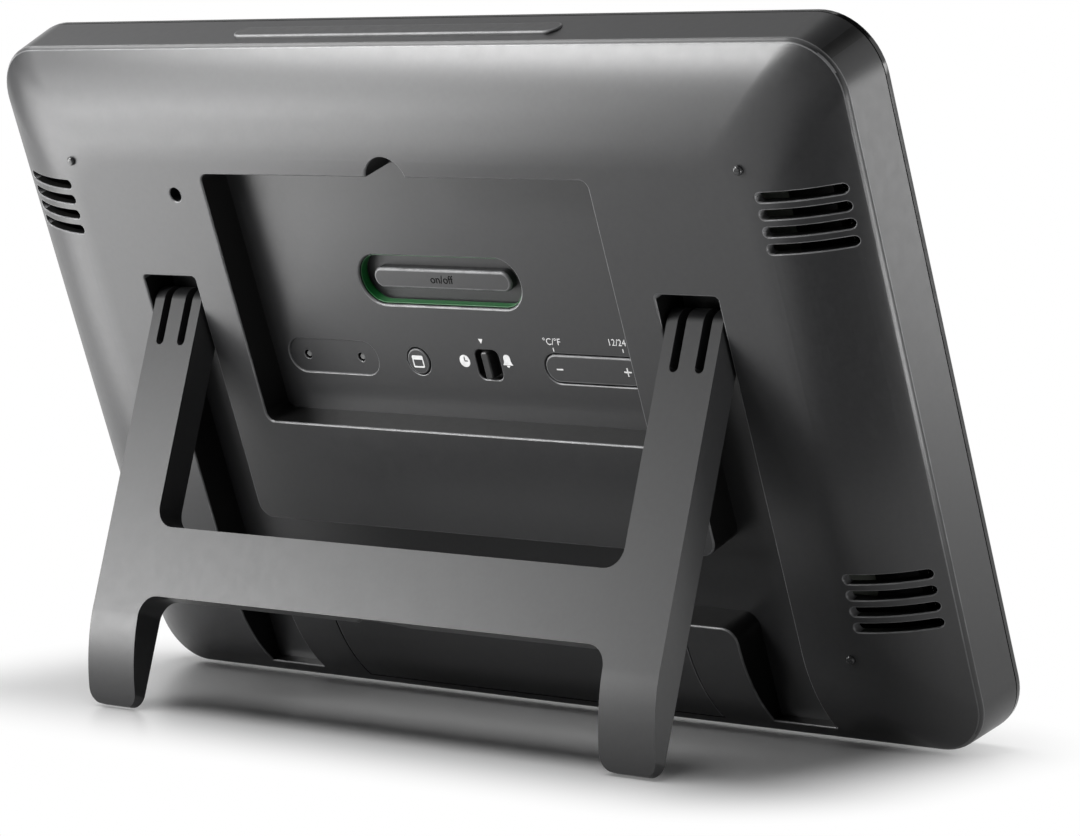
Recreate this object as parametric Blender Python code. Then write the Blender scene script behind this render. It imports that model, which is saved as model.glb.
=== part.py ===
"""Digital wall and desk clock, seen from its back: a leaning case on a fold-out stand.

Metres, +Z up, the clock faces -Y and stands on Z = 0. All pieces are modelled in the frame
of the case, where X runs across, Y points out of the back and Z runs up the case, with
Y = 0 on the flat of the back. One empty leans that frame until case and stand touch the
ground together.
"""
import math

import bmesh
import bpy
from mathutils import Vector

# Case: outline of the front, cover behind it, and the domed border of the back
CASE_WIDTH = 0.2300
CASE_HEIGHT = 0.1540
CASE_CORNER = 0.0130
COVER_DEPTH = 0.0190
EDGE_DEPTH = 0.0080
SIDE_DRAFT = 0.0013
DOME_WIDTH = 0.0240
FLAT_CORNER = 0.0100
WALL = 0.0020

# Clearances, how far cutters run past what they cut, and how deep joined forms sink in
GAP = 0.0003
OVERCUT = 0.0010
SINK = 0.0003
STAND_GAP = 0.00085
STAND_SINK = 0.0002

# Channels that take the folded stand
CHANNEL_DEPTH = 0.00825
CHANNEL_WALL = 0.0018
LEG_CHANNEL_INNER = 0.0629
LEG_CHANNEL_WIDTH = 0.0156
LEG_CHANNEL_LENGTH = 0.0977
CHANNEL_MARGIN = 0.0037
BAR_CHANNEL_HEIGHT = 0.0163
LAND_FILLET = 0.0035
CHANNEL_CORNER = 0.0010

# Stand
STAND_OPEN = math.radians(38.0)
STAND_THICKNESS = 0.0070
PIVOT_INSET = 0.0036
PIVOT_BELOW_TOP = 0.0082
PIVOT_RADIUS = 0.0018
PIVOT_LENGTH = 0.0013
STAND_FILLET = 0.0045
FOOT_CORNER = 0.0030
SLOT_WIDTH = 0.0022
SLOT_SPREAD = 0.00315
SLOT_END = 0.0102
SCOOP_RADIUS = 0.0095
SCOOP_OUT = 0.0020
SCOOP_BELOW = 0.0060

# Control recess with the half-round notch that a wall hook enters
RECESS_HALF_WIDTH = 0.0528
RECESS_BELOW_DOME = 0.0021
RECESS_ABOVE_BAR = 0.0239
RECESS_DEPTH = 0.0076
RECESS_CORNER = 0.0020
RECESS_FLOOR = 0.0018
NOTCH_RADIUS = 0.0055
NOTCH_DROP = 0.0011

# Vents, sounder hole and wall bumpers
VENT_LENGTH = 0.0176
VENT_SIDE_MARGIN = 0.0030
VENT_REACH = 0.0125
VENT_TOP_MARGIN = 0.0291
VENT_BOTTOM_MARGIN = 0.0307
VENT_HEIGHT = 0.0020
VENT_PITCH = 0.00355
VENT_COUNT = 4
SOUND_RADIUS = 0.0016
SOUND_BESIDE_RECESS = 0.0088
SOUND_DROP = 0.0048
BUMPER_RADIUS = 0.0010
BUMPER_ABOVE_FLAT = 0.0006
BUMPER_HEIGHT = 0.0006

# Alarm button in its liner
ALARM_ABOVE_KEYS = 0.0185
ALARM_SLOT_WIDTH = 0.0441
ALARM_SLOT_HEIGHT = 0.0113
ALARM_SUNK = 0.0022
ALARM_BAR_WIDTH = 0.0375
ALARM_BAR_HEIGHT = 0.0046
ALARM_BAR_PROUD = 0.0012
LINER_WALL = 0.0008
LINER_FLANGE = 0.0005
CONTACT_SHEET = 0.00025
ALARM_SHEET_WIDTH = 0.0300
ALARM_DOME = (0.0020, 0.0011)
ALARM_DOME_SPREAD = 0.0112

# Keys in the recess
KEY_ROW_RISE = 0.0127
ROUND_KEY_X = 0.0113
ROUND_KEY_RADIUS = 0.0032
MODE_X = -0.0080
MODE_SLOT_WIDTH = 0.0065
MODE_SLOT_HEIGHT = 0.0068
MODE_TRAVEL = 0.0019
MODE_CORNER = 0.0016
MODE_RIB = 0.0020
MODE_RIB_PROUD = 0.0007
WIPER_THICKNESS = 0.0002
WIPER_HALF_LENGTH = 0.0030
WIPER_HALF_WIDTH = 0.0012
SLIDER_FLANGE = 0.0007
SLIDER_OVERLAP = 0.0008
ROCKER_X = -0.0361
ROCKER_WIDTH = 0.0258
ROCKER_HEIGHT = 0.0068
ROCKER_REACH = 0.0090
ROCKER_LUG_HALF = 0.0030
ROCKER_POST_RADIUS = 0.0012
PANEL_X = 0.0357
PANEL_WIDTH = 0.0256
PANEL_HEIGHT = 0.0078
PANEL_DEPTH = 0.0004
PIN_HOLE_RADIUS = 0.0010
PIN_SPREAD = 0.00775
PIN_SUNK = 0.0008
KEY_TRAVEL = 0.0006
KEY_FLANGE = 0.0006
KEY_LIP = 0.0009
KEY_CHAMFER = 0.1
KEY_PROUD = 0.0002

# Snooze bar in the top wall
SNOOZE_WIDTH = 0.0886
SNOOZE_DEPTH = 0.0057
SNOOZE_Y = -0.0134
SNOOZE_PROUD = 0.0005
SNOOZE_TRAVEL = 0.0008
SNOOZE_FLANGE = 0.0010
SNOOZE_BOARD_HALF = (0.0120, 0.0040)
SNOOZE_BOARD_THICKNESS = 0.0012
SNOOZE_SWITCH_HALF = 0.0030

# Battery bay: two rows of two cells behind a door in the domed border
LOWER_ROW_MARGIN = 0.0102
LOWER_ROW_DEPTH = 0.01045
UPPER_ROW_DEPTH = 0.00755
ROW_OVERLAP = 0.00005
CELL_RADIUS = 0.00525
CELL_LENGTH = 0.0445
CELL_NUB_RADIUS = 0.0019
CELL_NUB_LENGTH = 0.0009
CELL_CRIMP = 0.0005
BAY_WALL = 0.0012
BAY_END_ROOM = 0.0031
DOOR_MARGIN = 0.0028
DOOR_OVERHANG = 0.0017
DOOR_SKIN = 0.0015
DOOR_TAB_X = 0.0300
DOOR_TAB_WIDTH = 0.0080
DOOR_TAB_REACH = 0.0010
DOOR_TAB_ROOT = 0.0012
DOOR_RIB_HALF = 0.0060
DOOR_RIB_WIDTH = 0.0010
DOOR_RIB_DEPTH = 0.0025
TAB_RIM = 0.0006
TAB_POCKET = 0.0036
CONTACT_THICKNESS = 0.0004
CONTACT_HALF_DEPTH = 0.0032
CONTACT_HALF_HEIGHT = 0.0036
CONTACT_NECK = 0.0015
CONTACT_CORNER = 0.0012
CONTACT_BUMP = (0.0022, 0.0014)
CONTACT_BUMP_STEP = 0.0004
SPRING_WIRE = 0.00025
SPRING_TURNS = 2.5
SPRING_RADII = (0.0036, 0.0016)

# Front: bezel, lens, display and boards
BEZEL_FRONT = 0.0208
BEZEL_EDGE = 0.0006
LENS_MARGIN = 0.0095
LENS_CORNER = 0.0050
LENS_SUNK = 0.0001
LENS_THICKNESS = 0.0012
LENS_LEDGE = 0.0045
GLASS_SIDE_MARGIN = 0.0075
GLASS_TOP_MARGIN = 0.0035
GLASS_BOTTOM_MARGIN = 0.0135
GLASS_THICKNESS = 0.0017
TRAY_WALL = 0.0026
TRAY_FLOOR = 0.0010
TRAY_LEDGE = 0.0080
STRIP_HALF_LENGTH = 0.0500
STRIP_HALF_WIDTH = 0.0012
STRIP_MARGIN = 0.0035
STRIP_LAND = 0.0120
BOARD_HALF_WIDTH = 0.0700
BOARD_ABOVE_GLASS = 0.0015
BOARD_BELOW_RECESS = 0.0170
BOARD_BEHIND_FLOOR = 0.0030
BOARD_THICKNESS = 0.0016
MAT_THICKNESS = 0.0006
MAT_MARGIN = 0.0050
MAT_HALF_HEIGHT = 0.0046
MAT_DOME = (0.0026, 0.0014)
POST_RADIUS = 0.0026
POST_HOLE = 0.00105
UPPER_POST_X = 0.0660
UPPER_POST_DROP = 0.0095
LOWER_POST_X = 0.0500
LOWER_POST_RISE = 0.0055
SCREW_HEAD = 0.0021
SCREW_HEAD_HEIGHT = 0.0008
SCREW_REACH = 0.0048
CHIP_X = 0.0300
CHIP_RADIUS = 0.0075
CHIP_HEIGHT = 0.0014
CHIP_DROP = 0.0235
SENSOR_X = -0.0655
SENSOR_DROP = 0.0275
SENSOR_HALF = (0.0016, 0.0022)
SENSOR_HEIGHT = 0.0021
BUZZER_RADIUS = 0.0060
BUZZER_HEIGHT = 0.0060
BUZZER_RING_SHARE = 0.6
BUZZER_MOUTH_RADIUS = 0.0010
BUZZER_MOUTH_DEPTH = 0.0015
AERIAL_RADIUS = 0.0030
AERIAL_LENGTH = 0.0500
AERIAL_X = -0.0450
AERIAL_MARGIN = 0.0147
AERIAL_ABOVE_WALL = 0.0014
AERIAL_COIL_HALF = 0.0075
AERIAL_CLIP_HALF = 0.0010
AERIAL_CLIP_SHARE = 0.36
AERIAL_COIL_WALL = 0.0008

CORNER_STEPS = 6
DOME_STEPS = 6
ROUND_STEPS = 16
SPRING_STEPS = 10

# Values that follow from the driving dimensions
EDGE_HALF_WIDTH = CASE_WIDTH / 2 - SIDE_DRAFT
EDGE_HALF_HEIGHT = CASE_HEIGHT / 2 - SIDE_DRAFT
DOME_RADIUS = (DOME_WIDTH ** 2 + EDGE_DEPTH ** 2) / (2 * EDGE_DEPTH)
FLAT_HALF_WIDTH = EDGE_HALF_WIDTH - DOME_WIDTH
FLAT_HALF_HEIGHT = EDGE_HALF_HEIGHT - DOME_WIDTH
CHANNEL_BOTTOM = CHANNEL_MARGIN - EDGE_HALF_HEIGHT
CHANNEL_TOP = CHANNEL_BOTTOM + LEG_CHANNEL_LENGTH
DOOR_BOTTOM = DOOR_MARGIN - EDGE_HALF_HEIGHT
CELL_ROW_LOWER = (-LOWER_ROW_DEPTH, LOWER_ROW_MARGIN - EDGE_HALF_HEIGHT)
CELL_ROW_UPPER = (-UPPER_ROW_DEPTH, CELL_ROW_LOWER[1] + 2 * CELL_RADIUS - ROW_OVERLAP)
BAR_CHANNEL_BOTTOM = CELL_ROW_UPPER[1] + CELL_RADIUS + GAP + BAY_WALL + GAP / 3
BAR_CHANNEL_TOP = BAR_CHANNEL_BOTTOM + BAR_CHANNEL_HEIGHT
RECESS_BOTTOM = BAR_CHANNEL_TOP + RECESS_ABOVE_BAR
RECESS_TOP = FLAT_HALF_HEIGHT - RECESS_BELOW_DOME
NOTCH_CENTRE_Z = RECESS_TOP - NOTCH_DROP
KEY_ROW_Z = RECESS_BOTTOM + KEY_ROW_RISE
ALARM_Z = KEY_ROW_Z + ALARM_ABOVE_KEYS
SYNC_X = PANEL_X + PIN_SPREAD
RESET_X = PANEL_X - PIN_SPREAD
VENT_OUTER = EDGE_HALF_WIDTH - VENT_SIDE_MARGIN
VENT_TOP_UPPER = EDGE_HALF_HEIGHT - VENT_TOP_MARGIN
VENT_TOP_LOWER = VENT_BOTTOM_MARGIN + (VENT_COUNT - 1) * VENT_PITCH - EDGE_HALF_HEIGHT
SOUND_X = RECESS_HALF_WIDTH + SOUND_BESIDE_RECESS
SOUND_Z = RECESS_TOP - SOUND_DROP
BUMPER_X = FLAT_HALF_WIDTH + 1.5 * BUMPER_ABOVE_FLAT
BUMPER_Z = FLAT_HALF_HEIGHT + BUMPER_ABOVE_FLAT
BAY_HALF_LENGTH = CELL_LENGTH + BAY_END_ROOM
DOOR_HALF_WIDTH = BAY_HALF_LENGTH + DOOR_OVERHANG
LENS_HALF_WIDTH = CASE_WIDTH / 2 - LENS_MARGIN
LENS_HALF_HEIGHT = CASE_HEIGHT / 2 - LENS_MARGIN
GLASS_HALF_WIDTH = LENS_HALF_WIDTH - GLASS_SIDE_MARGIN
GLASS_TOP = LENS_HALF_HEIGHT - GLASS_TOP_MARGIN
GLASS_BOTTOM = GLASS_BOTTOM_MARGIN - LENS_HALF_HEIGHT
GLASS_CENTRE_Z = (GLASS_TOP + GLASS_BOTTOM) / 2
GLASS_HALF_HEIGHT = (GLASS_TOP - GLASS_BOTTOM) / 2
BOARD_TOP = GLASS_TOP + BOARD_ABOVE_GLASS
BOARD_BOTTOM = RECESS_BOTTOM - BOARD_BELOW_RECESS
POSTS = tuple((side * x, z) for x, z in ((UPPER_POST_X, BOARD_TOP - UPPER_POST_DROP),
                                         (LOWER_POST_X, BOARD_BOTTOM + LOWER_POST_RISE)) for side in (1, -1))
AERIAL_Z = EDGE_HALF_HEIGHT - AERIAL_MARGIN
LEG_CENTRE = LEG_CHANNEL_INNER + LEG_CHANNEL_WIDTH / 2
LEG_HALF_WIDTH = LEG_CHANNEL_WIDTH / 2 - STAND_GAP
PIVOT_Y = -(PIVOT_INSET + STAND_SINK)
PIVOT_Z = CHANNEL_TOP - PIVOT_BELOW_TOP
FLOOR_IN = RECESS_DEPTH + RECESS_FLOOR
AERIAL_DEPTH = WALL + AERIAL_RADIUS + AERIAL_COIL_WALL + AERIAL_ABOVE_WALL
BOARD_REAR = FLOOR_IN + BOARD_BEHIND_FLOOR
BOARD_FRONT = BOARD_REAR + BOARD_THICKNESS
TRAY_REAR = BOARD_FRONT + GAP
GLASS_REAR = TRAY_REAR + TRAY_FLOOR + GAP
GLASS_FRONT = GLASS_REAR + GLASS_THICKNESS
BEZEL_REAR = GLASS_FRONT + GAP
BEZEL_JOINT = COVER_DEPTH + GAP
KEY_FLANGE_REAR = FLOOR_IN + GAP
DOME_TIP = KEY_FLANGE_REAR + KEY_FLANGE + KEY_TRAVEL + GAP / 3
MAT_REAR = BOARD_REAR - GAP / 3 - MAT_THICKNESS


def clear_scene():
    for old in list(bpy.data.objects):
        bpy.data.objects.remove(old, do_unlink=True)


def material(name, colour, roughness, metallic=0.0, alpha=1.0):
    mat = bpy.data.materials.new(name)
    mat.use_nodes = True
    shader = mat.node_tree.nodes["Principled BSDF"]
    shader.inputs["Base Color"].default_value = (*colour, 1.0)
    shader.inputs["Roughness"].default_value = roughness
    shader.inputs["Metallic"].default_value = metallic
    shader.inputs["Alpha"].default_value = alpha
    return mat


def arc(centre, radius, start, end, steps):
    """Points on an arc in a plane, angles in radians, both ends included."""
    points = []
    for i in range(steps + 1):
        a = start + (end - start) * i / steps
        points.append((centre[0] + radius * math.cos(a), centre[1] + radius * math.sin(a)))
    return points


def rounded_outline(corners, steps=4):
    """An outline through (u, v, radius) corners, each rounded by an arc of its radius."""
    points = []
    count = len(corners)
    for i, (u, v, radius) in enumerate(corners):
        here = Vector((u, v))
        if radius <= 0:
            points.append((u, v))
            continue
        back = (Vector(corners[i - 1][:2]) - here).normalized()
        ahead = (Vector(corners[(i + 1) % count][:2]) - here).normalized()
        half = math.acos(max(-1.0, min(1.0, back.dot(ahead)))) / 2
        centre = here + (back + ahead).normalized() * (radius / math.sin(half))
        first = here + back * (radius / math.tan(half)) - centre
        last = here + ahead * (radius / math.tan(half)) - centre
        start = math.atan2(first.y, first.x)
        sweep = math.atan2(last.y, last.x) - start
        sweep = (sweep + math.pi) % (2 * math.pi) - math.pi
        points.extend(arc(centre, radius, start, start + sweep, steps))
    return points


def rectangle(half_u, half_v, radius=0.0, centre=(0.0, 0.0), steps=4):
    cu, cv = centre
    return rounded_outline([(cu + half_u, cv - half_v, radius), (cu + half_u, cv + half_v, radius),
                            (cu - half_u, cv + half_v, radius), (cu - half_u, cv - half_v, radius)], steps)


def pill(width, height, centre, steps=6):
    """A slot outline with round ends, width the longer side."""
    cu, cv = centre
    reach = (width - height) / 2
    right = arc((cu + reach, cv), height / 2, -math.pi / 2, math.pi / 2, steps)
    left = arc((cu - reach, cv), height / 2, math.pi / 2, 3 * math.pi / 2, steps)
    return right + left


def circle(radius, centre, steps=ROUND_STEPS):
    return arc(centre, radius, 0.0, 2 * math.pi * (steps - 1) / steps, steps - 1)


def loft(rings):
    """A closed solid through rings of equal point counts."""
    bm = bmesh.new()
    loops = [[bm.verts.new(p) for p in ring] for ring in rings]
    count = len(loops[0])
    for a, b in zip(loops, loops[1:]):
        for i in range(count):
            j = (i + 1) % count
            bm.faces.new((a[i], a[j], b[j], b[i]))
    bm.faces.new(loops[0])
    bm.faces.new(list(reversed(loops[-1])))
    bmesh.ops.recalc_face_normals(bm, faces=bm.faces)
    return bm


def lift(u, v, along, axis):
    """A point of an outline placed in space, the outline square to the named axis."""
    if axis == "x":
        return Vector((along, u, v))
    if axis == "y":
        return Vector((u, along, v))
    return Vector((u, v, along))


def prism(outline, axis, low, high):
    return loft([[lift(u, v, along, axis) for u, v in outline] for along in (low, high)])


def turned(profile, axis, centre, steps=ROUND_STEPS):
    """A solid of revolution: profile is (along, radius) from one end to the other."""
    rings = []
    for along, radius in profile:
        rings.append([lift(u, v, along, axis) for u, v in circle(radius, centre, steps)])
    return loft(rings)


def add_object(name, bm, mat=None, origin=(0.0, 0.0, 0.0), parent=None):
    """Make an object of a mesh given in the case frame, its origin moved to a point of it."""
    bmesh.ops.translate(bm, verts=bm.verts, vec=-Vector(origin))
    mesh = bpy.data.meshes.new(name)
    bm.to_mesh(mesh)
    bm.free()
    obj = bpy.data.objects.new(name, mesh)
    bpy.context.scene.collection.objects.link(obj)
    obj.location = origin
    obj.parent = parent or CASE_FRAME
    if mat:
        mesh.materials.append(mat)
    return obj


def tool(name, bm, parent=None):
    obj = add_object(name, bm, parent=parent)
    obj.hide_render = True
    obj.display_type = "WIRE"
    return obj


def combine(target, other, operation):
    mod = target.modifiers.new(other.name, "BOOLEAN")
    mod.operation = operation
    mod.solver = "EXACT"
    mod.object = other


def cut(target, name, bm):
    combine(target, tool("cut_" + name, bm, target.parent), "DIFFERENCE")


def fuse(target, name, bm):
    combine(target, tool("add_" + name, bm, target.parent), "UNION")


def smooth(obj, angle=30.0):
    obj.data.shade_smooth()
    obj.data.set_sharp_from_angle(angle=math.radians(angle))


def dome_drop(inset):
    """How far the back has fallen below its flat, at a distance in from the sharp edge."""
    reach = max(0.0, DOME_WIDTH - inset)
    return DOME_RADIUS - math.sqrt(DOME_RADIUS ** 2 - reach ** 2)


def case_ring(inset, depth, shrink):
    """One ring of the case: the sharp edge's outline drawn in by inset, at a depth."""
    share = max(0.0, inset) / DOME_WIDTH
    edge_radius = CASE_CORNER - SIDE_DRAFT - shrink
    radius = edge_radius + (FLAT_CORNER - edge_radius) * share - min(0.0, inset)
    outline = rectangle(EDGE_HALF_WIDTH - inset, EDGE_HALF_HEIGHT - inset, radius, steps=CORNER_STEPS)
    return [Vector((x, -depth, z)) for x, z in outline]


def case_solid(offset, front_depth):
    """The cover's outer form, or its parallel form at an offset inside it."""
    radius = DOME_RADIUS - offset
    steepest = math.asin((DOME_WIDTH - offset) / radius)
    edge_depth = DOME_RADIUS - radius * math.cos(steepest)
    flare = SIDE_DRAFT * (front_depth - edge_depth) / (COVER_DEPTH - EDGE_DEPTH)
    rings = [case_ring(offset - flare, front_depth, offset)]
    for i in range(DOME_STEPS + 1):
        a = steepest * (1 - i / DOME_STEPS)
        depth = DOME_RADIUS - radius * math.cos(a)
        rings.append(case_ring(DOME_WIDTH - radius * math.sin(a), depth, offset))
    return loft(rings)


def channel_outline(grow, fillet):
    """The H-shaped pocket of the stand, in X and Z, grown by a wall where it is asked for."""
    outer = LEG_CHANNEL_INNER + LEG_CHANNEL_WIDTH + grow
    inner = LEG_CHANNEL_INNER - grow
    top = CHANNEL_TOP + grow
    bottom = CHANNEL_BOTTOM - grow
    bar_top = BAR_CHANNEL_TOP + grow
    bar_bottom = BAR_CHANNEL_BOTTOM - grow
    corner = CHANNEL_CORNER + grow
    return rounded_outline([
        (outer, top, corner), (inner, top, corner), (inner, bar_top, fillet),
        (-inner, bar_top, fillet), (-inner, top, corner), (-outer, top, corner),
        (-outer, bottom, 0.0), (-inner, bottom, 0.0), (-inner, bar_bottom, fillet),
        (inner, bar_bottom, fillet), (inner, bottom, 0.0), (outer, bottom, 0.0)], steps=3)


def recess_outline(grow):
    """The control recess with its half-round notch, in X and Z."""
    half = RECESS_HALF_WIDTH + grow
    top = RECESS_TOP + grow
    bottom = RECESS_BOTTOM - grow
    corner = RECESS_CORNER + grow
    radius = NOTCH_RADIUS + grow
    start = math.asin((top - NOTCH_CENTRE_Z) / radius)
    right = rounded_outline([(half, bottom, corner), (half, top, corner),
                             (-half, top, corner), (-half, bottom, corner)], steps=3)
    notch = arc((0.0, NOTCH_CENTRE_Z), radius, start, math.pi - start, 10)
    return right[:8] + notch + right[8:]


def bay_outline(row, radius):
    """A trough for one row of cells, in Y and Z: open to the back, round at the front."""
    y, z = row
    mouth = [(OVERCUT, z - radius), (OVERCUT, z + radius)]
    return arc((y, z), radius, math.pi / 2, 3 * math.pi / 2, 8) + mouth


def make_materials():
    return {
        "shell": material("satin_grey_plastic", (0.075, 0.076, 0.080), 0.42),
        "stand": material("stand_grey_plastic", (0.085, 0.086, 0.090), 0.45),
        "key": material("key_plastic", (0.070, 0.071, 0.074), 0.45),
        "black": material("black_plastic", (0.012, 0.012, 0.013), 0.25),
        "green": material("green_plastic", (0.02, 0.33, 0.08), 0.35),
        "lens": material("clear_lens", (0.9, 0.92, 0.92), 0.05, alpha=0.35),
        "glass": material("display_glass", (0.52, 0.56, 0.50), 0.15),
        "white": material("white_plastic", (0.75, 0.75, 0.72), 0.5),
        "rubber": material("rubber", (0.30, 0.31, 0.32), 0.8),
        "board": material("board_laminate", (0.03, 0.16, 0.06), 0.5),
        "potting": material("potting_resin", (0.015, 0.015, 0.015), 0.4),
        "metal": material("plated_steel", (0.65, 0.64, 0.60), 0.3, 1.0),
        "cell": material("cell_jacket", (0.06, 0.07, 0.09), 0.35),
        "ferrite": material("ferrite", (0.05, 0.05, 0.055), 0.6),
    }


def make_cavity():
    """The hollow of the cover: all that is not skin, pocket wall, post or clip."""
    hollow = tool("cut_cavity", case_solid(WALL, COVER_DEPTH + OVERCUT))
    cut(hollow, "channel_block", prism(channel_outline(CHANNEL_WALL, LAND_FILLET - CHANNEL_WALL / 2),
                                       "y", -(CHANNEL_DEPTH + CHANNEL_WALL), OVERCUT))
    cut(hollow, "recess_block", prism(recess_outline(CHANNEL_WALL), "y", -FLOOR_IN, 2 * OVERCUT))
    for label, row in (("upper", CELL_ROW_UPPER), ("lower", CELL_ROW_LOWER)):
        block = bay_outline(row, CELL_RADIUS + GAP + BAY_WALL)
        reach = DOOR_HALF_WIDTH + GAP + BAY_WALL
        cut(hollow, "bay_block_" + label, prism(block, "x", -reach, reach))
    for i, (x, z) in enumerate(POSTS):
        post = circle(POST_RADIUS, (x, z), 12)
        cut(hollow, f"post_{i + 1}", prism(post, "y", -(BOARD_REAR - GAP), OVERCUT))
    ring = circle(BUZZER_RADIUS + GAP + BAY_WALL, (SOUND_X, SOUND_Z))
    cut(hollow, "buzzer_ring", prism(ring, "y", -(WALL + BUZZER_HEIGHT * BUZZER_RING_SHARE), OVERCUT))
    for side in (-1, 1):
        clip_x = AERIAL_X + side * AERIAL_LENGTH * AERIAL_CLIP_SHARE
        clip = rectangle(AERIAL_CLIP_HALF, AERIAL_RADIUS + WALL, centre=(clip_x, AERIAL_Z))
        cut(hollow, f"aerial_clip_{(side + 3) // 2}", prism(clip, "y", -(AERIAL_DEPTH + OVERCUT), OVERCUT))
    return hollow


def make_rear_cover(mats):
    cover = add_object("rear_cover", case_solid(0.0, COVER_DEPTH), mats["shell"])
    cut(cover, "channel", prism(channel_outline(0.0, LAND_FILLET), "y", -CHANNEL_DEPTH, 3 * OVERCUT))
    cut(cover, "recess", prism(recess_outline(0.0), "y", -RECESS_DEPTH, 4 * OVERCUT))
    for label, row in (("upper", CELL_ROW_UPPER), ("lower", CELL_ROW_LOWER)):
        bay = bay_outline(row, CELL_RADIUS + GAP)
        cut(cover, "bay_" + label, prism(bay, "x", -BAY_HALF_LENGTH, BAY_HALF_LENGTH))
    combine(cover, make_cavity(), "DIFFERENCE")

    seat_outline = rectangle(DOOR_HALF_WIDTH + GAP, (BAR_CHANNEL_BOTTOM - DOOR_BOTTOM) / 2 + GAP,
                             centre=(0.0, (BAR_CHANNEL_BOTTOM + DOOR_BOTTOM) / 2))
    seat = tool("cut_door_seat", prism(seat_outline, "y", -EDGE_DEPTH * 2, OVERCUT))
    combine(seat, tool("cut_door_seat_floor", case_solid(DOOR_SKIN + GAP, COVER_DEPTH)), "DIFFERENCE")
    combine(cover, seat, "DIFFERENCE")
    for side in (-1, 1):
        number = (side + 3) // 2
        slot_top = DOOR_BOTTOM + 2 * DOOR_TAB_ROOT
        slot_bottom = DOOR_BOTTOM - DOOR_TAB_REACH - GAP
        outline = rectangle(DOOR_TAB_WIDTH / 2 + GAP, (slot_top - slot_bottom) / 2,
                            centre=(side * DOOR_TAB_X, (slot_top + slot_bottom) / 2))
        slot = tool(f"cut_tab_slot_{number}", prism(outline, "y", -2 * EDGE_DEPTH, 0.0))
        combine(slot, tool(f"cut_tab_rim_{number}", case_solid(TAB_RIM, COVER_DEPTH)), "INTERSECT")
        combine(slot, tool(f"cut_tab_back_{number}", case_solid(TAB_POCKET, COVER_DEPTH)), "DIFFERENCE")
        combine(cover, slot, "DIFFERENCE")

    for side in (-1, 1):
        for first, rank in ((VENT_TOP_UPPER, "upper"), (VENT_TOP_LOWER, "lower")):
            for i in range(VENT_COUNT):
                centre = (side * (VENT_OUTER - VENT_LENGTH / 2), first - i * VENT_PITCH)
                slot = pill(VENT_LENGTH, VENT_HEIGHT, centre, 3)
                cut(cover, f"vent_{rank}_{(side + 3) // 2}_{i + 1}", prism(slot, "y", -VENT_REACH, OVERCUT))
    mouth = circle(SOUND_RADIUS, (SOUND_X, SOUND_Z), 12)
    cut(cover, "sounder", prism(mouth, "y", -(WALL + OVERCUT), OVERCUT))
    buzzer_seat = circle(BUZZER_RADIUS + GAP, (SOUND_X, SOUND_Z))
    cut(cover, "buzzer_seat", prism(buzzer_seat, "y", -(WALL + BUZZER_HEIGHT), -(WALL - GAP / 3)))
    aerial_seat = circle(AERIAL_RADIUS + GAP, (-AERIAL_DEPTH, AERIAL_Z), 12)
    cut(cover, "aerial_seat", prism(aerial_seat, "x", AERIAL_X - AERIAL_LENGTH / 2,
                                    AERIAL_X + AERIAL_LENGTH / 2))
    for i, (x, z) in enumerate(POSTS):
        hole = circle(POST_HOLE, (x, z), 10)
        cut(cover, f"post_hole_{i + 1}", prism(hole, "y", -BOARD_REAR, -BOARD_REAR / 2))
    for side in (-1, 1):
        for edge in (LEG_CHANNEL_INNER, LEG_CHANNEL_INNER + LEG_CHANNEL_WIDTH):
            reach = CHANNEL_WALL + OVERCUT
            low, high = sorted((side * (edge - reach), side * (edge + reach)))
            cut(cover, f"pivot_{(side + 3) // 2}_{round(edge * 1000)}",
                prism(circle(PIVOT_RADIUS + GAP, (PIVOT_Y, PIVOT_Z)), "x", low, high))

    floor = (-(FLOOR_IN + OVERCUT), -(RECESS_DEPTH - OVERCUT))
    cut(cover, "alarm_slot", prism(pill(ALARM_SLOT_WIDTH, ALARM_SLOT_HEIGHT, (0.0, ALARM_Z)), "y", *floor))
    cut(cover, "round_key_hole", prism(circle(ROUND_KEY_RADIUS, (ROUND_KEY_X, KEY_ROW_Z)), "y", *floor))
    mode = rectangle(MODE_SLOT_WIDTH / 2, MODE_SLOT_HEIGHT / 2, MODE_CORNER, (MODE_X, KEY_ROW_Z), 3)
    cut(cover, "mode_slot", prism(mode, "y", *floor))
    cut(cover, "rocker_hole", prism(pill(ROCKER_WIDTH, ROCKER_HEIGHT, (ROCKER_X, KEY_ROW_Z)), "y", *floor))
    panel = pill(PANEL_WIDTH, PANEL_HEIGHT, (PANEL_X, KEY_ROW_Z))
    cut(cover, "panel", prism(panel, "y", -(RECESS_DEPTH + PANEL_DEPTH), -(RECESS_DEPTH - OVERCUT)))
    for x, label in ((SYNC_X, "sync"), (RESET_X, "reset")):
        cut(cover, label + "_hole", prism(circle(PIN_HOLE_RADIUS, (x, KEY_ROW_Z), 10), "y", *floor))
    top = CASE_HEIGHT / 2
    snooze = pill(SNOOZE_WIDTH, SNOOZE_DEPTH, (0.0, SNOOZE_Y), 4)
    cut(cover, "snooze_slot", prism(snooze, "z", top - 3 * WALL, top + OVERCUT))

    for side in (-1, 1):
        for row, z in (("upper", BUMPER_Z), ("lower", -BUMPER_Z)):
            fuse(cover, f"bumper_{row}_{(side + 3) // 2}",
                 turned([(-WALL / 2, BUMPER_RADIUS), (BUMPER_HEIGHT * 0.5, BUMPER_RADIUS),
                         (BUMPER_HEIGHT, BUMPER_RADIUS * 0.6)], "y", (side * BUMPER_X, z), 10))
    return cover


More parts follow.
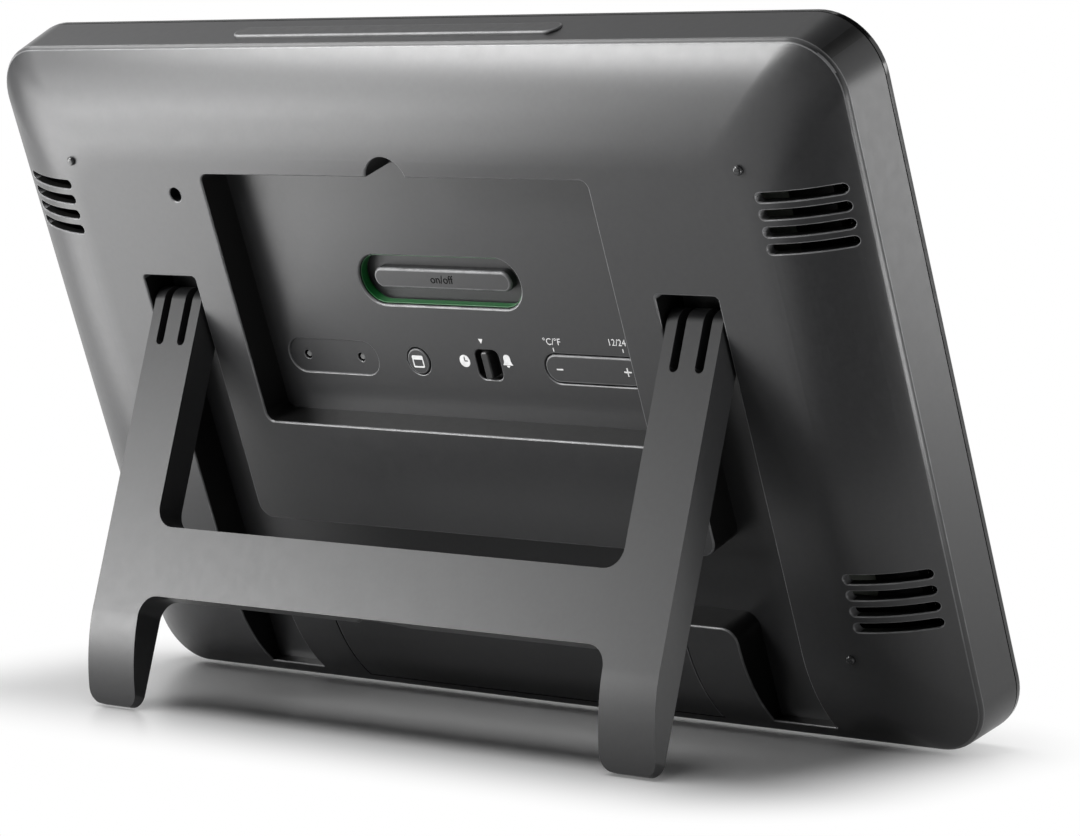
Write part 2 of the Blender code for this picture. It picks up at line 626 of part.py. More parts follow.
def stand_side():
    """Side profile of the folded stand, in Y and Z from its pivot axis."""
    face = PIVOT_INSET
    back = PIVOT_INSET - STAND_THICKNESS
    floor_reach = CHANNEL_DEPTH + PIVOT_Y - GAP
    heel = (floor_reach + back * math.cos(STAND_OPEN)) / math.sin(STAND_OPEN)
    tip = CHANNEL_BOTTOM + 2 * GAP - PIVOT_Z
    dome_start = DOME_WIDTH - EDGE_HALF_HEIGHT - PIVOT_Z
    follow = DOME_RADIUS - STAND_SINK
    centre = (face - follow, dome_start)
    sweep = math.asin((dome_start - tip) / follow)
    knuckle = arc((0.0, 0.0), PIVOT_INSET, 0.0, math.pi / 2, 6)
    toe = arc(centre, follow, -sweep, 0.0, 6)
    return toe + knuckle + [(back, heel), (back, tip)]


def stand_front():
    """Front outline of the stand, in X and Z from its pivot axis: an H of legs and crossbar."""
    outer = LEG_CENTRE + LEG_HALF_WIDTH
    inner = LEG_CENTRE - LEG_HALF_WIDTH
    top = PIVOT_INSET + OVERCUT
    tip = CHANNEL_BOTTOM + 2 * GAP - PIVOT_Z
    margin = (STAND_GAP + GAP) / 2
    bar_top = BAR_CHANNEL_TOP - margin - PIVOT_Z
    bar_bottom = BAR_CHANNEL_BOTTOM + margin - PIVOT_Z
    half = [(outer, top, 0.0), (inner, top, 0.0), (inner, bar_top, STAND_FILLET)]
    foot = [(inner, bar_bottom, STAND_FILLET), (inner, tip, FOOT_CORNER), (outer, tip, FOOT_CORNER)]
    left_half = [(-x, z, r) for x, z, r in reversed(half)]
    left_foot = [(-x, z, r) for x, z, r in reversed(foot)]
    return rounded_outline(half + left_half + left_foot + foot, steps=4)


def make_stand(mats):
    """The fold-out stand, drawn folded from its pivot and then opened."""
    pivot = bpy.data.objects.new("stand_pivot", None)
    bpy.context.scene.collection.objects.link(pivot)
    pivot.parent = CASE_FRAME
    pivot.location = (0.0, PIVOT_Y, PIVOT_Z)
    pivot.rotation_euler = (STAND_OPEN, 0.0, 0.0)
    reach = LEG_CENTRE + LEG_CHANNEL_WIDTH
    through = STAND_THICKNESS + OVERCUT
    stand = add_object("stand", prism(stand_side(), "x", -reach, reach), mats["stand"], parent=pivot)
    combine(stand, tool("keep_stand_front", prism(stand_front(), "y", -through, through), pivot), "INTERSECT")
    outer_ends = ((LEG_CENTRE + LEG_HALF_WIDTH, 1), (LEG_CENTRE - LEG_HALF_WIDTH, -1))
    for side in (-1, 1):
        number = (side + 3) // 2
        for slot, spread in ((1, -SLOT_SPREAD), (2, SLOT_SPREAD)):
            x = side * LEG_CENTRE + spread
            outline = arc((x, -SLOT_END + SLOT_WIDTH / 2), SLOT_WIDTH / 2, math.pi, 2 * math.pi, 5)
            outline += [(x + SLOT_WIDTH / 2, through), (x - SLOT_WIDTH / 2, through)]
            cut(stand, f"tongue_slot_{number}_{slot}", prism(outline, "y", -through, through))
        for face, out in outer_ends:
            root = side * (face - out * SINK)
            end = side * (face + out * (STAND_GAP + PIVOT_LENGTH))
            fuse(stand, f"pivot_stub_{number}_{(out + 3) // 2}",
                 prism(circle(PIVOT_RADIUS, (0.0, 0.0)), "x", min(root, end), max(root, end)))
    bar_bottom = BAR_CHANNEL_BOTTOM + (STAND_GAP + GAP) / 2 - PIVOT_Z
    scoop = bmesh.new()
    bmesh.ops.create_uvsphere(scoop, u_segments=16, v_segments=8, radius=SCOOP_RADIUS)
    inner_face = PIVOT_INSET - STAND_THICKNESS
    place = (0.0, inner_face - SCOOP_OUT, bar_bottom - SCOOP_BELOW)
    bmesh.ops.translate(scoop, verts=scoop.verts, vec=place)
    cut(stand, "finger_scoop", scoop)
    return stand


def make_battery_door(mats):
    middle = (BAR_CHANNEL_BOTTOM + DOOR_BOTTOM) / 2
    height = (BAR_CHANNEL_BOTTOM - DOOR_BOTTOM) / 2
    hinge = (0.0, -dome_drop(DOOR_BOTTOM + EDGE_HALF_HEIGHT), DOOR_BOTTOM)
    outline = rectangle(DOOR_HALF_WIDTH, height, centre=(0.0, middle))
    door = add_object("battery_door", prism(outline, "y", -2 * EDGE_DEPTH, OVERCUT), mats["shell"], hinge)
    combine(door, tool("keep_door_face", case_solid(0.0, COVER_DEPTH)), "INTERSECT")
    combine(door, tool("cut_door_inside", case_solid(DOOR_SKIN, COVER_DEPTH)), "DIFFERENCE")
    rib_top = CELL_ROW_UPPER[1] + CELL_RADIUS
    rib = rectangle(DOOR_RIB_HALF, DOOR_RIB_WIDTH / 2, centre=(0.0, rib_top - DOOR_RIB_WIDTH / 2))
    fuse(door, "door_rib", prism(rib, "y", -(DOOR_SKIN + DOOR_RIB_DEPTH), -(DOOR_SKIN - 2 * SINK)))
    for side in (-1, 1):
        number = (side + 3) // 2
        low = DOOR_BOTTOM - DOOR_TAB_REACH
        high = DOOR_BOTTOM + DOOR_TAB_ROOT
        centre = (side * DOOR_TAB_X, (high + low) / 2)
        outline = rectangle(DOOR_TAB_WIDTH / 2, (high - low) / 2, centre=centre)
        tab = tool(f"add_door_tab_{number}", prism(outline, "y", -2 * EDGE_DEPTH, -OVERCUT))
        outer = case_solid(TAB_RIM + GAP, COVER_DEPTH)
        combine(tab, tool(f"keep_tab_outer_{number}", outer), "INTERSECT")
        inner = case_solid(DOOR_SKIN + GAP / 3, COVER_DEPTH)
        combine(tab, tool(f"cut_tab_inner_{number}", inner), "DIFFERENCE")
        combine(door, tab, "UNION")
    return door


def make_cells(mats):
    """Four cells: the upper row has its plus end to the right, the lower to the left."""
    reach = CELL_LENGTH / 2 + GAP / 2
    for label, row, plus in (("upper", CELL_ROW_UPPER, 1), ("lower", CELL_ROW_LOWER, -1)):
        for side, word in ((-1, "left"), (1, "right")):
            x = side * reach
            bottom = x - plus * CELL_LENGTH / 2
            shoulder = x + plus * (CELL_LENGTH / 2 - CELL_NUB_LENGTH)
            tip = x + plus * CELL_LENGTH / 2
            crimp = CELL_RADIUS - CELL_CRIMP
            profile = [(bottom, crimp), (bottom + plus * CELL_CRIMP, CELL_RADIUS),
                       (shoulder - plus * CELL_CRIMP, CELL_RADIUS), (shoulder, crimp),
                       (shoulder, CELL_NUB_RADIUS), (tip, CELL_NUB_RADIUS)]
            cell = add_object(f"cell_{label}_{word}", turned(profile, "x", row), mats["cell"])
            smooth(cell)


def contact_plate(x, rows):
    """A flat spring-steel plate at one end of the bay, across the row or rows that it joins."""
    half_y = CONTACT_HALF_DEPTH
    half_z = CONTACT_HALF_HEIGHT
    round_off = CONTACT_CORNER
    y, z = rows[0]
    if len(rows) == 1:
        outline = rectangle(half_y, half_z, round_off, (y, z), 3)
    else:
        low_y, low_z = rows[1]
        neck = low_y + CONTACT_NECK
        shoulder = (low_z + z) / 2
        outline = rounded_outline([
            (y + half_y, z + half_z, round_off), (y - half_y, z + half_z, round_off),
            (y - half_y, z - half_z, round_off), (neck, z - half_z, 0.0), (neck, low_z + half_z, 0.0),
            (low_y - half_y, low_z + half_z, round_off), (low_y - half_y, low_z - half_z, round_off),
            (low_y + half_y, low_z - half_z, round_off), (low_y + half_y, shoulder, 0.0),
            (y + half_y, shoulder, round_off)], 2)
    other = x - math.copysign(CONTACT_THICKNESS, x)
    return prism(outline, "x", min(x, other), max(x, other))


def cell_spring(name, side, row, mat):
    """A conical coil from a contact plate to the flat end of a cell, one unbroken wire."""
    cell_end = CELL_LENGTH + GAP / 2
    plate = BAY_HALF_LENGTH - GAP - CONTACT_THICKNESS
    start = plate - GAP - SPRING_WIRE
    end = cell_end + GAP + SPRING_WIRE
    wide, narrow = SPRING_RADII
    steps = round(SPRING_TURNS * SPRING_STEPS)
    curve = bpy.data.curves.new(name, "CURVE")
    curve.dimensions = "3D"
    curve.bevel_depth = SPRING_WIRE
    curve.bevel_resolution = 1
    curve.use_fill_caps = True
    spline = curve.splines.new("POLY")
    spline.points.add(steps)
    for i in range(steps + 1):
        t = i / steps
        a = 2 * math.pi * SPRING_TURNS * t
        radius = wide + (narrow - wide) * t
        spline.points[i].co = (side * (start + (end - start) * t), row[0] + radius * math.cos(a),
                               row[1] + radius * math.sin(a), 1.0)
    curve.materials.append(mat)
    spring = bpy.data.objects.new(name, curve)
    bpy.context.scene.collection.objects.link(spring)
    spring.parent = CASE_FRAME
    return spring


def make_contacts(mats):
    plate = BAY_HALF_LENGTH - GAP
    bump_end = CELL_LENGTH + GAP / 2 + GAP
    step = plate - CONTACT_THICKNESS - CONTACT_BUMP_STEP
    for name, side, rows, plus_row in (("contact_link", 1, (CELL_ROW_UPPER, CELL_ROW_LOWER), CELL_ROW_UPPER),
                                       ("contact_minus", -1, (CELL_ROW_UPPER,), None),
                                       ("contact_plus", -1, (CELL_ROW_LOWER,), CELL_ROW_LOWER)):
        contact = add_object(name, contact_plate(side * plate, rows), mats["metal"])
        if plus_row:
            root = side * (plate - CONTACT_THICKNESS / 2)
            fuse(contact, name + "_bump", turned(
                [(root, CONTACT_BUMP[0]), (side * step, CONTACT_BUMP[0]), (side * bump_end, CONTACT_BUMP[1])],
                "x", plus_row, 12))
    cell_spring("cell_spring_upper", -1, CELL_ROW_UPPER, mats["metal"])
    cell_spring("cell_spring_lower", 1, CELL_ROW_LOWER, mats["metal"])


def make_alarm_button(mats):
    """A sunk pill-shaped button with a raised bar, inside a green liner of its hole."""
    ring_end = FLOOR_IN + GAP + LINER_FLANGE
    hole = (ALARM_SLOT_WIDTH, ALARM_SLOT_HEIGHT)
    centre = (0.0, ALARM_Z)
    liner = add_object("alarm_liner", prism(pill(hole[0] - 2 * GAP, hole[1] - 2 * GAP, centre), "y",
                                            -ring_end, -RECESS_DEPTH), mats["green"])
    lip = pill(hole[0] + 2 * KEY_LIP, hole[1] + 2 * KEY_LIP, centre)
    fuse(liner, "liner_flange", prism(lip, "y", -ring_end, -(FLOOR_IN + GAP)))
    inner = (hole[0] - 2 * (GAP + LINER_WALL), hole[1] - 2 * (GAP + LINER_WALL))
    bore = pill(*inner, centre)
    cut(liner, "liner_bore", prism(bore, "y", -(ring_end + OVERCUT), -(RECESS_DEPTH - OVERCUT)))
    face = RECESS_DEPTH + ALARM_SUNK
    flange_rear = ring_end + GAP
    flange_front = flange_rear + KEY_FLANGE
    cap = pill(inner[0] - 2 * GAP, inner[1] - 2 * GAP, centre)
    button = add_object("alarm_button", prism(cap, "y", -(flange_rear + KEY_FLANGE / 2), -face), mats["key"],
                        (0.0, -face, ALARM_Z))
    flange = pill(inner[0] + KEY_LIP, inner[1] + KEY_LIP, centre)
    fuse(button, "alarm_flange", prism(flange, "y", -flange_front, -flange_rear))
    bar_top = face - ALARM_BAR_PROUD
    edge = ALARM_BAR_PROUD / 2
    fuse(button, "alarm_bar", loft([
        [Vector((x, -(face + KEY_FLANGE / 4), z))
         for x, z in pill(ALARM_BAR_WIDTH, ALARM_BAR_HEIGHT, centre)],
        [Vector((x, -(bar_top + edge / 2), z)) for x, z in pill(ALARM_BAR_WIDTH, ALARM_BAR_HEIGHT, centre)],
        [Vector((x, -bar_top, z))
         for x, z in pill(ALARM_BAR_WIDTH - edge, ALARM_BAR_HEIGHT - edge, centre)]]))
    dome_tip = flange_front + KEY_TRAVEL + GAP / 3
    base_front = BOARD_REAR - GAP / 3
    sheet = pill(ALARM_SHEET_WIDTH, ALARM_BAR_HEIGHT, centre)
    sheet_rear = base_front - CONTACT_SHEET
    domes = add_object("alarm_contacts", prism(sheet, "y", -base_front, -sheet_rear), mats["metal"])
    foot, crown = ALARM_DOME
    profile = [(-(base_front - CONTACT_SHEET / 2), foot), (-sheet_rear, foot), (-dome_tip, crown)]
    for side in (-1, 1):
        spot = (side * ALARM_DOME_SPREAD, ALARM_Z)
        fuse(domes, f"alarm_dome_{(side + 3) // 2}", turned(profile, "y", spot, 12))


def add_wiper(name, mat, centre, above):
    """A bowed contact strip under a slider, its crown just clear of the board's tracks."""
    x, z = centre
    high = above + GAP / 2
    low = BOARD_REAR - GAP / 2 - WIPER_THICKNESS
    outer = []
    for i in range(9):
        t = i / 8 * 2 - 1
        outer.append((-(high + (low - high) * math.cos(t * math.pi / 2) ** 2), z + t * WIPER_HALF_LENGTH))
    inner = [(y - WIPER_THICKNESS, v) for y, v in reversed(outer)]
    strip = prism(outer + inner, "x", x - WIPER_HALF_WIDTH, x + WIPER_HALF_WIDTH)
    add_object(name, strip, mat, (x, -above, z))


def make_mode_slider(mats):
    z = KEY_ROW_Z
    flange_half = MODE_SLOT_WIDTH / 2 + MODE_TRAVEL + SLIDER_OVERLAP
    flange = rectangle(flange_half, MODE_SLOT_HEIGHT / 2 + SLIDER_OVERLAP, 2 * SINK, (MODE_X, z), 2)
    rear = KEY_FLANGE_REAR
    slider = add_object("mode_slider", prism(flange, "y", -(rear + SLIDER_FLANGE), -rear), mats["black"],
                        (MODE_X, -RECESS_DEPTH, z))
    rib = rectangle(MODE_RIB / 2, MODE_SLOT_HEIGHT / 2 - GAP, MODE_RIB / 3, (MODE_X, z), 3)
    fuse(slider, "mode_rib", prism(rib, "y", -(rear + SINK), MODE_RIB_PROUD - RECESS_DEPTH))
    add_wiper("mode_wiper", mats["metal"], (MODE_X, z), rear + SLIDER_FLANGE)


def push_key(name, mat, radius, x, face):
    """A round key: cap in its hole, flange behind the recess floor."""
    z = KEY_ROW_Z
    rear = KEY_FLANGE_REAR
    top = face - RECESS_DEPTH
    profile = [(-(rear + KEY_FLANGE), radius + KEY_LIP), (-rear, radius + KEY_LIP), (-rear, radius),
               (top - radius * KEY_CHAMFER, radius), (top, radius * (1 - KEY_CHAMFER))]
    steps = ROUND_STEPS if radius > KEY_LIP else ROUND_STEPS // 2
    key = add_object(name, turned(profile, "y", (x, z), steps), mat, (x, -RECESS_DEPTH, z))
    smooth(key)
    return key


def make_rocker(mats):
    """One key for minus and plus, rocking on a rib behind its middle."""
    z = KEY_ROW_Z
    rear = KEY_FLANGE_REAR
    width = ROCKER_WIDTH - 2 * GAP
    height = ROCKER_HEIGHT - 2 * GAP
    skin = SINK / 6
    cap = pill(width, height, (ROCKER_X, z))
    rocker = add_object("adjust_rocker", prism(cap, "y", -rear, KEY_PROUD / 2 - RECESS_DEPTH), mats["key"],
                        (ROCKER_X, -(rear + KEY_FLANGE), z))
    for side in (-1, 1):
        lug = rectangle(ROCKER_LUG_HALF, KEY_LIP, centre=(ROCKER_X, z + side * (ROCKER_HEIGHT / 2 + GAP)))
        fuse(rocker, f"rocker_lug_{(side + 3) // 2}", prism(lug, "y", -(rear + KEY_FLANGE), -(rear + skin)))
    bridge = rectangle(ROCKER_LUG_HALF - skin, ROCKER_HEIGHT / 2, centre=(ROCKER_X, z))
    fuse(rocker, "rocker_bridge", prism(bridge, "y", -(rear + KEY_FLANGE - skin), -(rear - SINK)))
    for side in (-1, 1):
        post = circle(ROCKER_POST_RADIUS, (ROCKER_X + side * ROCKER_REACH, z), 10)
        reach = -(rear + KEY_FLANGE - skin)
        fuse(rocker, f"rocker_post_{(side + 3) // 2}", prism(post, "y", reach, -(rear - SINK)))


def make_mat(name, keys, mat):
    """A rubber mat on the board with a dome behind each key."""
    low = min(keys) - MAT_MARGIN
    high = max(keys) + MAT_MARGIN
    sheet = rectangle((high - low) / 2, MAT_HALF_HEIGHT, MAT_MARGIN / 5, ((low + high) / 2, KEY_ROW_Z), 2)
    base = add_object(name, prism(sheet, "y", -(MAT_REAR + MAT_THICKNESS), -MAT_REAR), mat)
    for i, x in enumerate(keys):
        foot, crown = MAT_DOME
        dome = turned([(-(MAT_REAR + MAT_THICKNESS / 2), foot), (-(MAT_REAR + SINK / 6), foot),
                       (-DOME_TIP, crown)], "y", (x, KEY_ROW_Z), 12)
        fuse(base, f"{name}_dome_{i + 1}", dome)
    return base


def make_rocker_mat(mats):
    """The mat behind the rocker, with a dome under each end and the rib that it rocks on."""
    ends = (ROCKER_X - ROCKER_REACH, ROCKER_X + ROCKER_REACH)
    base = make_mat("key_mat_left", ends, mats["rubber"])
    rib = rectangle(2 * SINK, ROCKER_LUG_HALF, centre=(ROCKER_X, KEY_ROW_Z))
    rib_tip = KEY_FLANGE_REAR + KEY_FLANGE + GAP / 3
    fuse(base, "rocker_rib", prism(rib, "y", -(MAT_REAR + MAT_THICKNESS / 2), -rib_tip))


def make_snooze(mats):
    """The long bar in the top wall, its flange behind the wall, and the switch below it."""
    slope = SIDE_DRAFT / (COVER_DEPTH - EDGE_DEPTH)
    wall_top = EDGE_HALF_HEIGHT + slope * (-SNOOZE_Y - EDGE_DEPTH)
    wall_in = EDGE_HALF_HEIGHT - WALL
    flange_top = wall_in - GAP
    flange_low = flange_top - SNOOZE_FLANGE
    top = wall_top + SNOOZE_PROUD
    centre = (0.0, SNOOZE_Y)
    width = SNOOZE_WIDTH - 2 * GAP
    depth = SNOOZE_DEPTH - 2 * GAP
    edge = SNOOZE_PROUD * 0.6
    cap_low = [Vector((x, y, flange_low + SINK)) for x, y in pill(width, depth, centre, 4)]
    cap_mid = [Vector((v.x, v.y, top - edge)) for v in cap_low]
    cap_top = [Vector((x, y, top)) for x, y in pill(width - 2 * edge, depth - 2 * edge, centre, 4)]
    bar = add_object("snooze_bar", loft([cap_low, cap_mid, cap_top]), mats["key"],
                     (0.0, SNOOZE_Y, flange_low))
    flange = pill(SNOOZE_WIDTH + 2 * KEY_LIP, SNOOZE_DEPTH + 2 * KEY_LIP, centre, 4)
    fuse(bar, "snooze_flange", prism(flange, "z", flange_low, flange_top))

    tray_top = GLASS_CENTRE_Z + GLASS_HALF_HEIGHT + GAP + TRAY_WALL
    board_low = tray_top + GAP
    board_top = board_low + SNOOZE_BOARD_THICKNESS
    board = rectangle(*SNOOZE_BOARD_HALF, KEY_LIP, centre, 2)
    add_object("snooze_board", prism(board, "z", board_low, board_top), mats["board"])
    switch_top = flange_low - SNOOZE_TRAVEL - GAP / 3
    body_top = switch_top - 2 * SINK
    body = rectangle(SNOOZE_SWITCH_HALF, SNOOZE_SWITCH_HALF, SINK, centre, 1)
    switch = add_object("snooze_switch", prism(body, "z", board_top + GAP, body_top), mats["black"])
    plunger = circle(SNOOZE_SWITCH_HALF / 2, centre, 12)
    fuse(switch, "snooze_plunger", prism(plunger, "z", body_top - SINK, switch_top))


def make_front(mats):
    """Bezel with its locating lip, and the lens that lies in the bezel's rebate."""
    outer_half = (CASE_WIDTH / 2, CASE_HEIGHT / 2)
    rings = []
    shoulder = 1 - math.sqrt(0.5)
    for depth, inset in ((BEZEL_JOINT, 0.0), (BEZEL_FRONT - BEZEL_EDGE, 0.0),
                         (BEZEL_FRONT - BEZEL_EDGE * shoulder, BEZEL_EDGE * shoulder),
                         (BEZEL_FRONT, BEZEL_EDGE)):
        outline = rectangle(outer_half[0] - inset, outer_half[1] - inset, CASE_CORNER - inset,
                            steps=CORNER_STEPS)
        rings.append([Vector((x, -depth, z)) for x, z in outline])
    bezel = add_object("front_bezel", loft(rings), mats["black"])
    lip_inset = WALL + GAP + SIDE_DRAFT * (BEZEL_JOINT - BEZEL_REAR) / (COVER_DEPTH - EDGE_DEPTH)
    lip = rectangle(outer_half[0] - lip_inset, outer_half[1] - lip_inset, CASE_CORNER - lip_inset,
                    steps=CORNER_STEPS)
    fuse(bezel, "bezel_lip", prism(lip, "y", -(BEZEL_JOINT + SINK), -BEZEL_REAR))
    lens_rear = BEZEL_FRONT - LENS_SUNK - LENS_THICKNESS
    rebate = rectangle(LENS_HALF_WIDTH + GAP, LENS_HALF_HEIGHT + GAP, LENS_CORNER + GAP, steps=3)
    cut(bezel, "lens_rebate", prism(rebate, "y", -(BEZEL_FRONT + OVERCUT), -(lens_rear - GAP)))
    window = rectangle(LENS_HALF_WIDTH - LENS_LEDGE, LENS_HALF_HEIGHT - LENS_LEDGE, LENS_CORNER / 2, steps=3)
    cut(bezel, "window", prism(window, "y", -(BEZEL_FRONT + OVERCUT), -(BEZEL_REAR - OVERCUT)))
    lens = rectangle(LENS_HALF_WIDTH, LENS_HALF_HEIGHT, LENS_CORNER, steps=3)
    add_object("display_lens", prism(lens, "y", -(lens_rear + LENS_THICKNESS), -lens_rear), mats["lens"])


def make_display(mats):
    """Display glass in its tray, and the rubber strip that joins it to the board."""
    centre = (0.0, GLASS_CENTRE_Z)
    glass = rectangle(GLASS_HALF_WIDTH, GLASS_HALF_HEIGHT, centre=centre)
    add_object("display_glass", prism(glass, "y", -GLASS_FRONT, -GLASS_REAR), mats["glass"])
    grow = GAP + TRAY_WALL
    outer = rectangle(GLASS_HALF_WIDTH + grow, GLASS_HALF_HEIGHT + grow, WALL, centre, 2)
    tray = add_object("display_tray", prism(outer, "y", -GLASS_FRONT, -TRAY_REAR), mats["white"])
    seat = rectangle(GLASS_HALF_WIDTH + GAP, GLASS_HALF_HEIGHT + GAP, centre=centre)
    cut(tray, "glass_seat", prism(seat, "y", -(GLASS_FRONT + OVERCUT), -(GLASS_REAR - GAP)))
    strip_z = BOARD_TOP - STRIP_MARGIN
    through = (-(GLASS_FRONT + OVERCUT), -(TRAY_REAR - OVERCUT))
    top = strip_z - STRIP_LAND
    bottom = GLASS_BOTTOM + TRAY_LEDGE
    opening = rectangle(GLASS_HALF_WIDTH - TRAY_LEDGE, (top - bottom) / 2, WALL, (0.0, (top + bottom) / 2), 2)
    cut(tray, "tray_opening", prism(opening, "y", *through))
    slot = rectangle(STRIP_HALF_LENGTH + GAP, STRIP_HALF_WIDTH + GAP, centre=(0.0, strip_z))
    cut(tray, "strip_slot", prism(slot, "y", *through))
    for i, (x, z) in enumerate(POSTS[:2]):
        relief = circle(SCREW_HEAD + 2 * GAP, (x, z), 12)
        cut(tray, f"screw_relief_{i + 1}", prism(relief, "y", *through))
    strip = rectangle(STRIP_HALF_LENGTH, STRIP_HALF_WIDTH, centre=(0.0, strip_z))
    strip_shape = prism(strip, "y", -(GLASS_REAR - GAP / 3), -(BOARD_FRONT + GAP / 3))
    add_object("connector_strip", strip_shape, mats["rubber"])


def make_board(mats):
    height = (BOARD_TOP - BOARD_BOTTOM) / 2
    outline = rectangle(BOARD_HALF_WIDTH, height, WALL, (0.0, (BOARD_TOP + BOARD_BOTTOM) / 2), 2)
    board = add_object("main_board", prism(outline, "y", -BOARD_FRONT, -BOARD_REAR), mats["board"])
    for i, (x, z) in enumerate(POSTS):
        hole = circle(POST_HOLE + GAP, (x, z), 10)
        cut(board, f"board_hole_{i + 1}", prism(hole, "y", -(BOARD_FRONT + OVERCUT), -(BOARD_REAR - OVERCUT)))
        seat = -(BOARD_FRONT + GAP)
        tip = SCREW_REACH - BOARD_REAR
        shank = POST_HOLE - GAP
        profile = [(seat - SCREW_HEAD_HEIGHT, SCREW_HEAD - SINK), (seat, SCREW_HEAD), (seat, shank),
                   (tip, shank), (tip + 2 * SINK, SINK)]
        screw = add_object(f"board_screw_{i + 1}", turned(profile, "y", (x, z), 10), mats["metal"])
        smooth(screw)
    chip = []
    for i in range(4):
        a = math.pi / 2 * i / 4
        chip.append((CHIP_HEIGHT * math.sin(a) + GAP / 3 - BOARD_REAR, CHIP_RADIUS * math.cos(a)))
    dome = turned(chip, "y", (CHIP_X, BOARD_TOP - CHIP_DROP), 14)
    blob = add_object("controller_chip", dome, mats["potting"])
    smooth(blob, 50)
    half_u, half_v = SENSOR_HALF
    sensor = rectangle(half_u, half_v, 2 * SINK, (SENSOR_X, BOARD_TOP - SENSOR_DROP), 2)
    seat = GAP / 3 - BOARD_REAR
    add_object("temperature_sensor", prism(sensor, "y", seat, seat + SENSOR_HEIGHT), mats["potting"])


def make_sounder_and_aerial(mats):
    face = -(WALL + GAP)
    rear = -(WALL + GAP + BUZZER_HEIGHT)
    buzzer = add_object("buzzer", turned([(rear, BUZZER_RADIUS), (face, BUZZER_RADIUS)], "y",
                                         (SOUND_X, SOUND_Z), 20), mats["potting"])
    mouth = circle(BUZZER_MOUTH_RADIUS, (SOUND_X, SOUND_Z), 10)
    cut(buzzer, "buzzer_mouth", prism(mouth, "y", face - BUZZER_MOUTH_DEPTH, face + OVERCUT))
    half = AERIAL_LENGTH / 2
    low, high = AERIAL_X - half, AERIAL_X + half
    coil_low, coil_high = AERIAL_X - AERIAL_COIL_HALF, AERIAL_X + AERIAL_COIL_HALF
    wound = AERIAL_RADIUS + AERIAL_COIL_WALL
    profile = [(low, AERIAL_RADIUS), (coil_low, AERIAL_RADIUS), (coil_low, wound),
               (coil_high, wound), (coil_high, AERIAL_RADIUS), (high, AERIAL_RADIUS)]
    rod = turned(profile, "x", (-AERIAL_DEPTH, AERIAL_Z), 12)
    aerial = add_object("receiver_aerial", rod, mats["ferrite"])
    smooth(aerial)


def lean_case():
    """Lean the case so that its lower back edge and the stand's toes share the ground."""
    tip = CHANNEL_BOTTOM + 2 * GAP - PIVOT_Z
    inner = PIVOT_INSET - STAND_THICKNESS
    toe_y = PIVOT_Y + inner * math.cos(STAND_OPEN) - tip * math.sin(STAND_OPEN)
    toe_z = PIVOT_Z + inner * math.sin(STAND_OPEN) + tip * math.cos(STAND_OPEN)
    lean = math.atan2(toe_z + EDGE_HALF_HEIGHT, toe_y + EDGE_DEPTH)
    edge_drop = EDGE_DEPTH * math.sin(lean) - EDGE_HALF_HEIGHT * math.cos(lean)
    front_y = -BEZEL_FRONT * math.cos(lean) - (CASE_HEIGHT / 2 - BEZEL_EDGE) * math.sin(lean)
    toe_world = toe_y * math.cos(lean) + toe_z * math.sin(lean)
    top_world = -EDGE_DEPTH * math.cos(lean) + EDGE_HALF_HEIGHT * math.sin(lean)
    CASE_FRAME.rotation_euler = (-lean, 0.0, 0.0)
    CASE_FRAME.location = (0.0, -(front_y + max(toe_world, top_world)) / 2, -edge_drop)
    return lean


def report_axes(lean):
    """Print what the joints need: places and axes in the world."""
    bpy.context.view_layer.update()
    place = CASE_FRAME.matrix_world
    print(f"lean {math.degrees(lean):.3f} deg, frame at {tuple(round(v, 6) for v in CASE_FRAME.location)}")
    turn = place.to_3x3()
    for name, axis in (("across", (1, 0, 0)), ("out of the back", (0, 1, 0)), ("up the case", (0, 0, 1))):
        print(name, tuple(round(v, 6) for v in turn @ Vector(axis)))
    for obj in bpy.data.objects:
        if obj.type != "EMPTY" and not obj.hide_render and obj.location.length > 0:
            print("origin of", obj.name, tuple(round(v, 6) for v in obj.matrix_world.translation))
    print("stand pivot", tuple(round(v, 6) for v in place @ Vector((0.0, PIVOT_Y, PIVOT_Z))))


clear_scene()
CASE_FRAME = bpy.data.objects.new("case_frame", None)
bpy.context.scene.collection.objects.link(CASE_FRAME)
MATERIALS = make_materials()
make_rear_cover(MATERIALS)
make_front(MATERIALS)
make_display(MATERIALS)
make_board(MATERIALS)
make_sounder_and_aerial(MATERIALS)
make_alarm_button(MATERIALS)
make_mode_slider(MATERIALS)
push_key("round_key", MATERIALS["key"], ROUND_KEY_RADIUS - GAP, ROUND_KEY_X, KEY_PROUD)
push_key("reset_pin", MATERIALS["white"], PIN_HOLE_RADIUS - GAP, RESET_X, -PIN_SUNK)
push_key("sync_pin", MATERIALS["white"], PIN_HOLE_RADIUS - GAP, SYNC_X, -PIN_SUNK)
make_rocker(MATERIALS)
make_mat("key_mat_right", (ROUND_KEY_X, RESET_X, SYNC_X), MATERIALS["rubber"])
make_rocker_mat(MATERIALS)
make_snooze(MATERIALS)
make_stand(MATERIALS)
make_battery_door(MATERIALS)
make_cells(MATERIALS)
make_contacts(MATERIALS)
report_axes(lean_case())
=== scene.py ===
import math

import bmesh
import bpy
from mathutils import Matrix, Vector


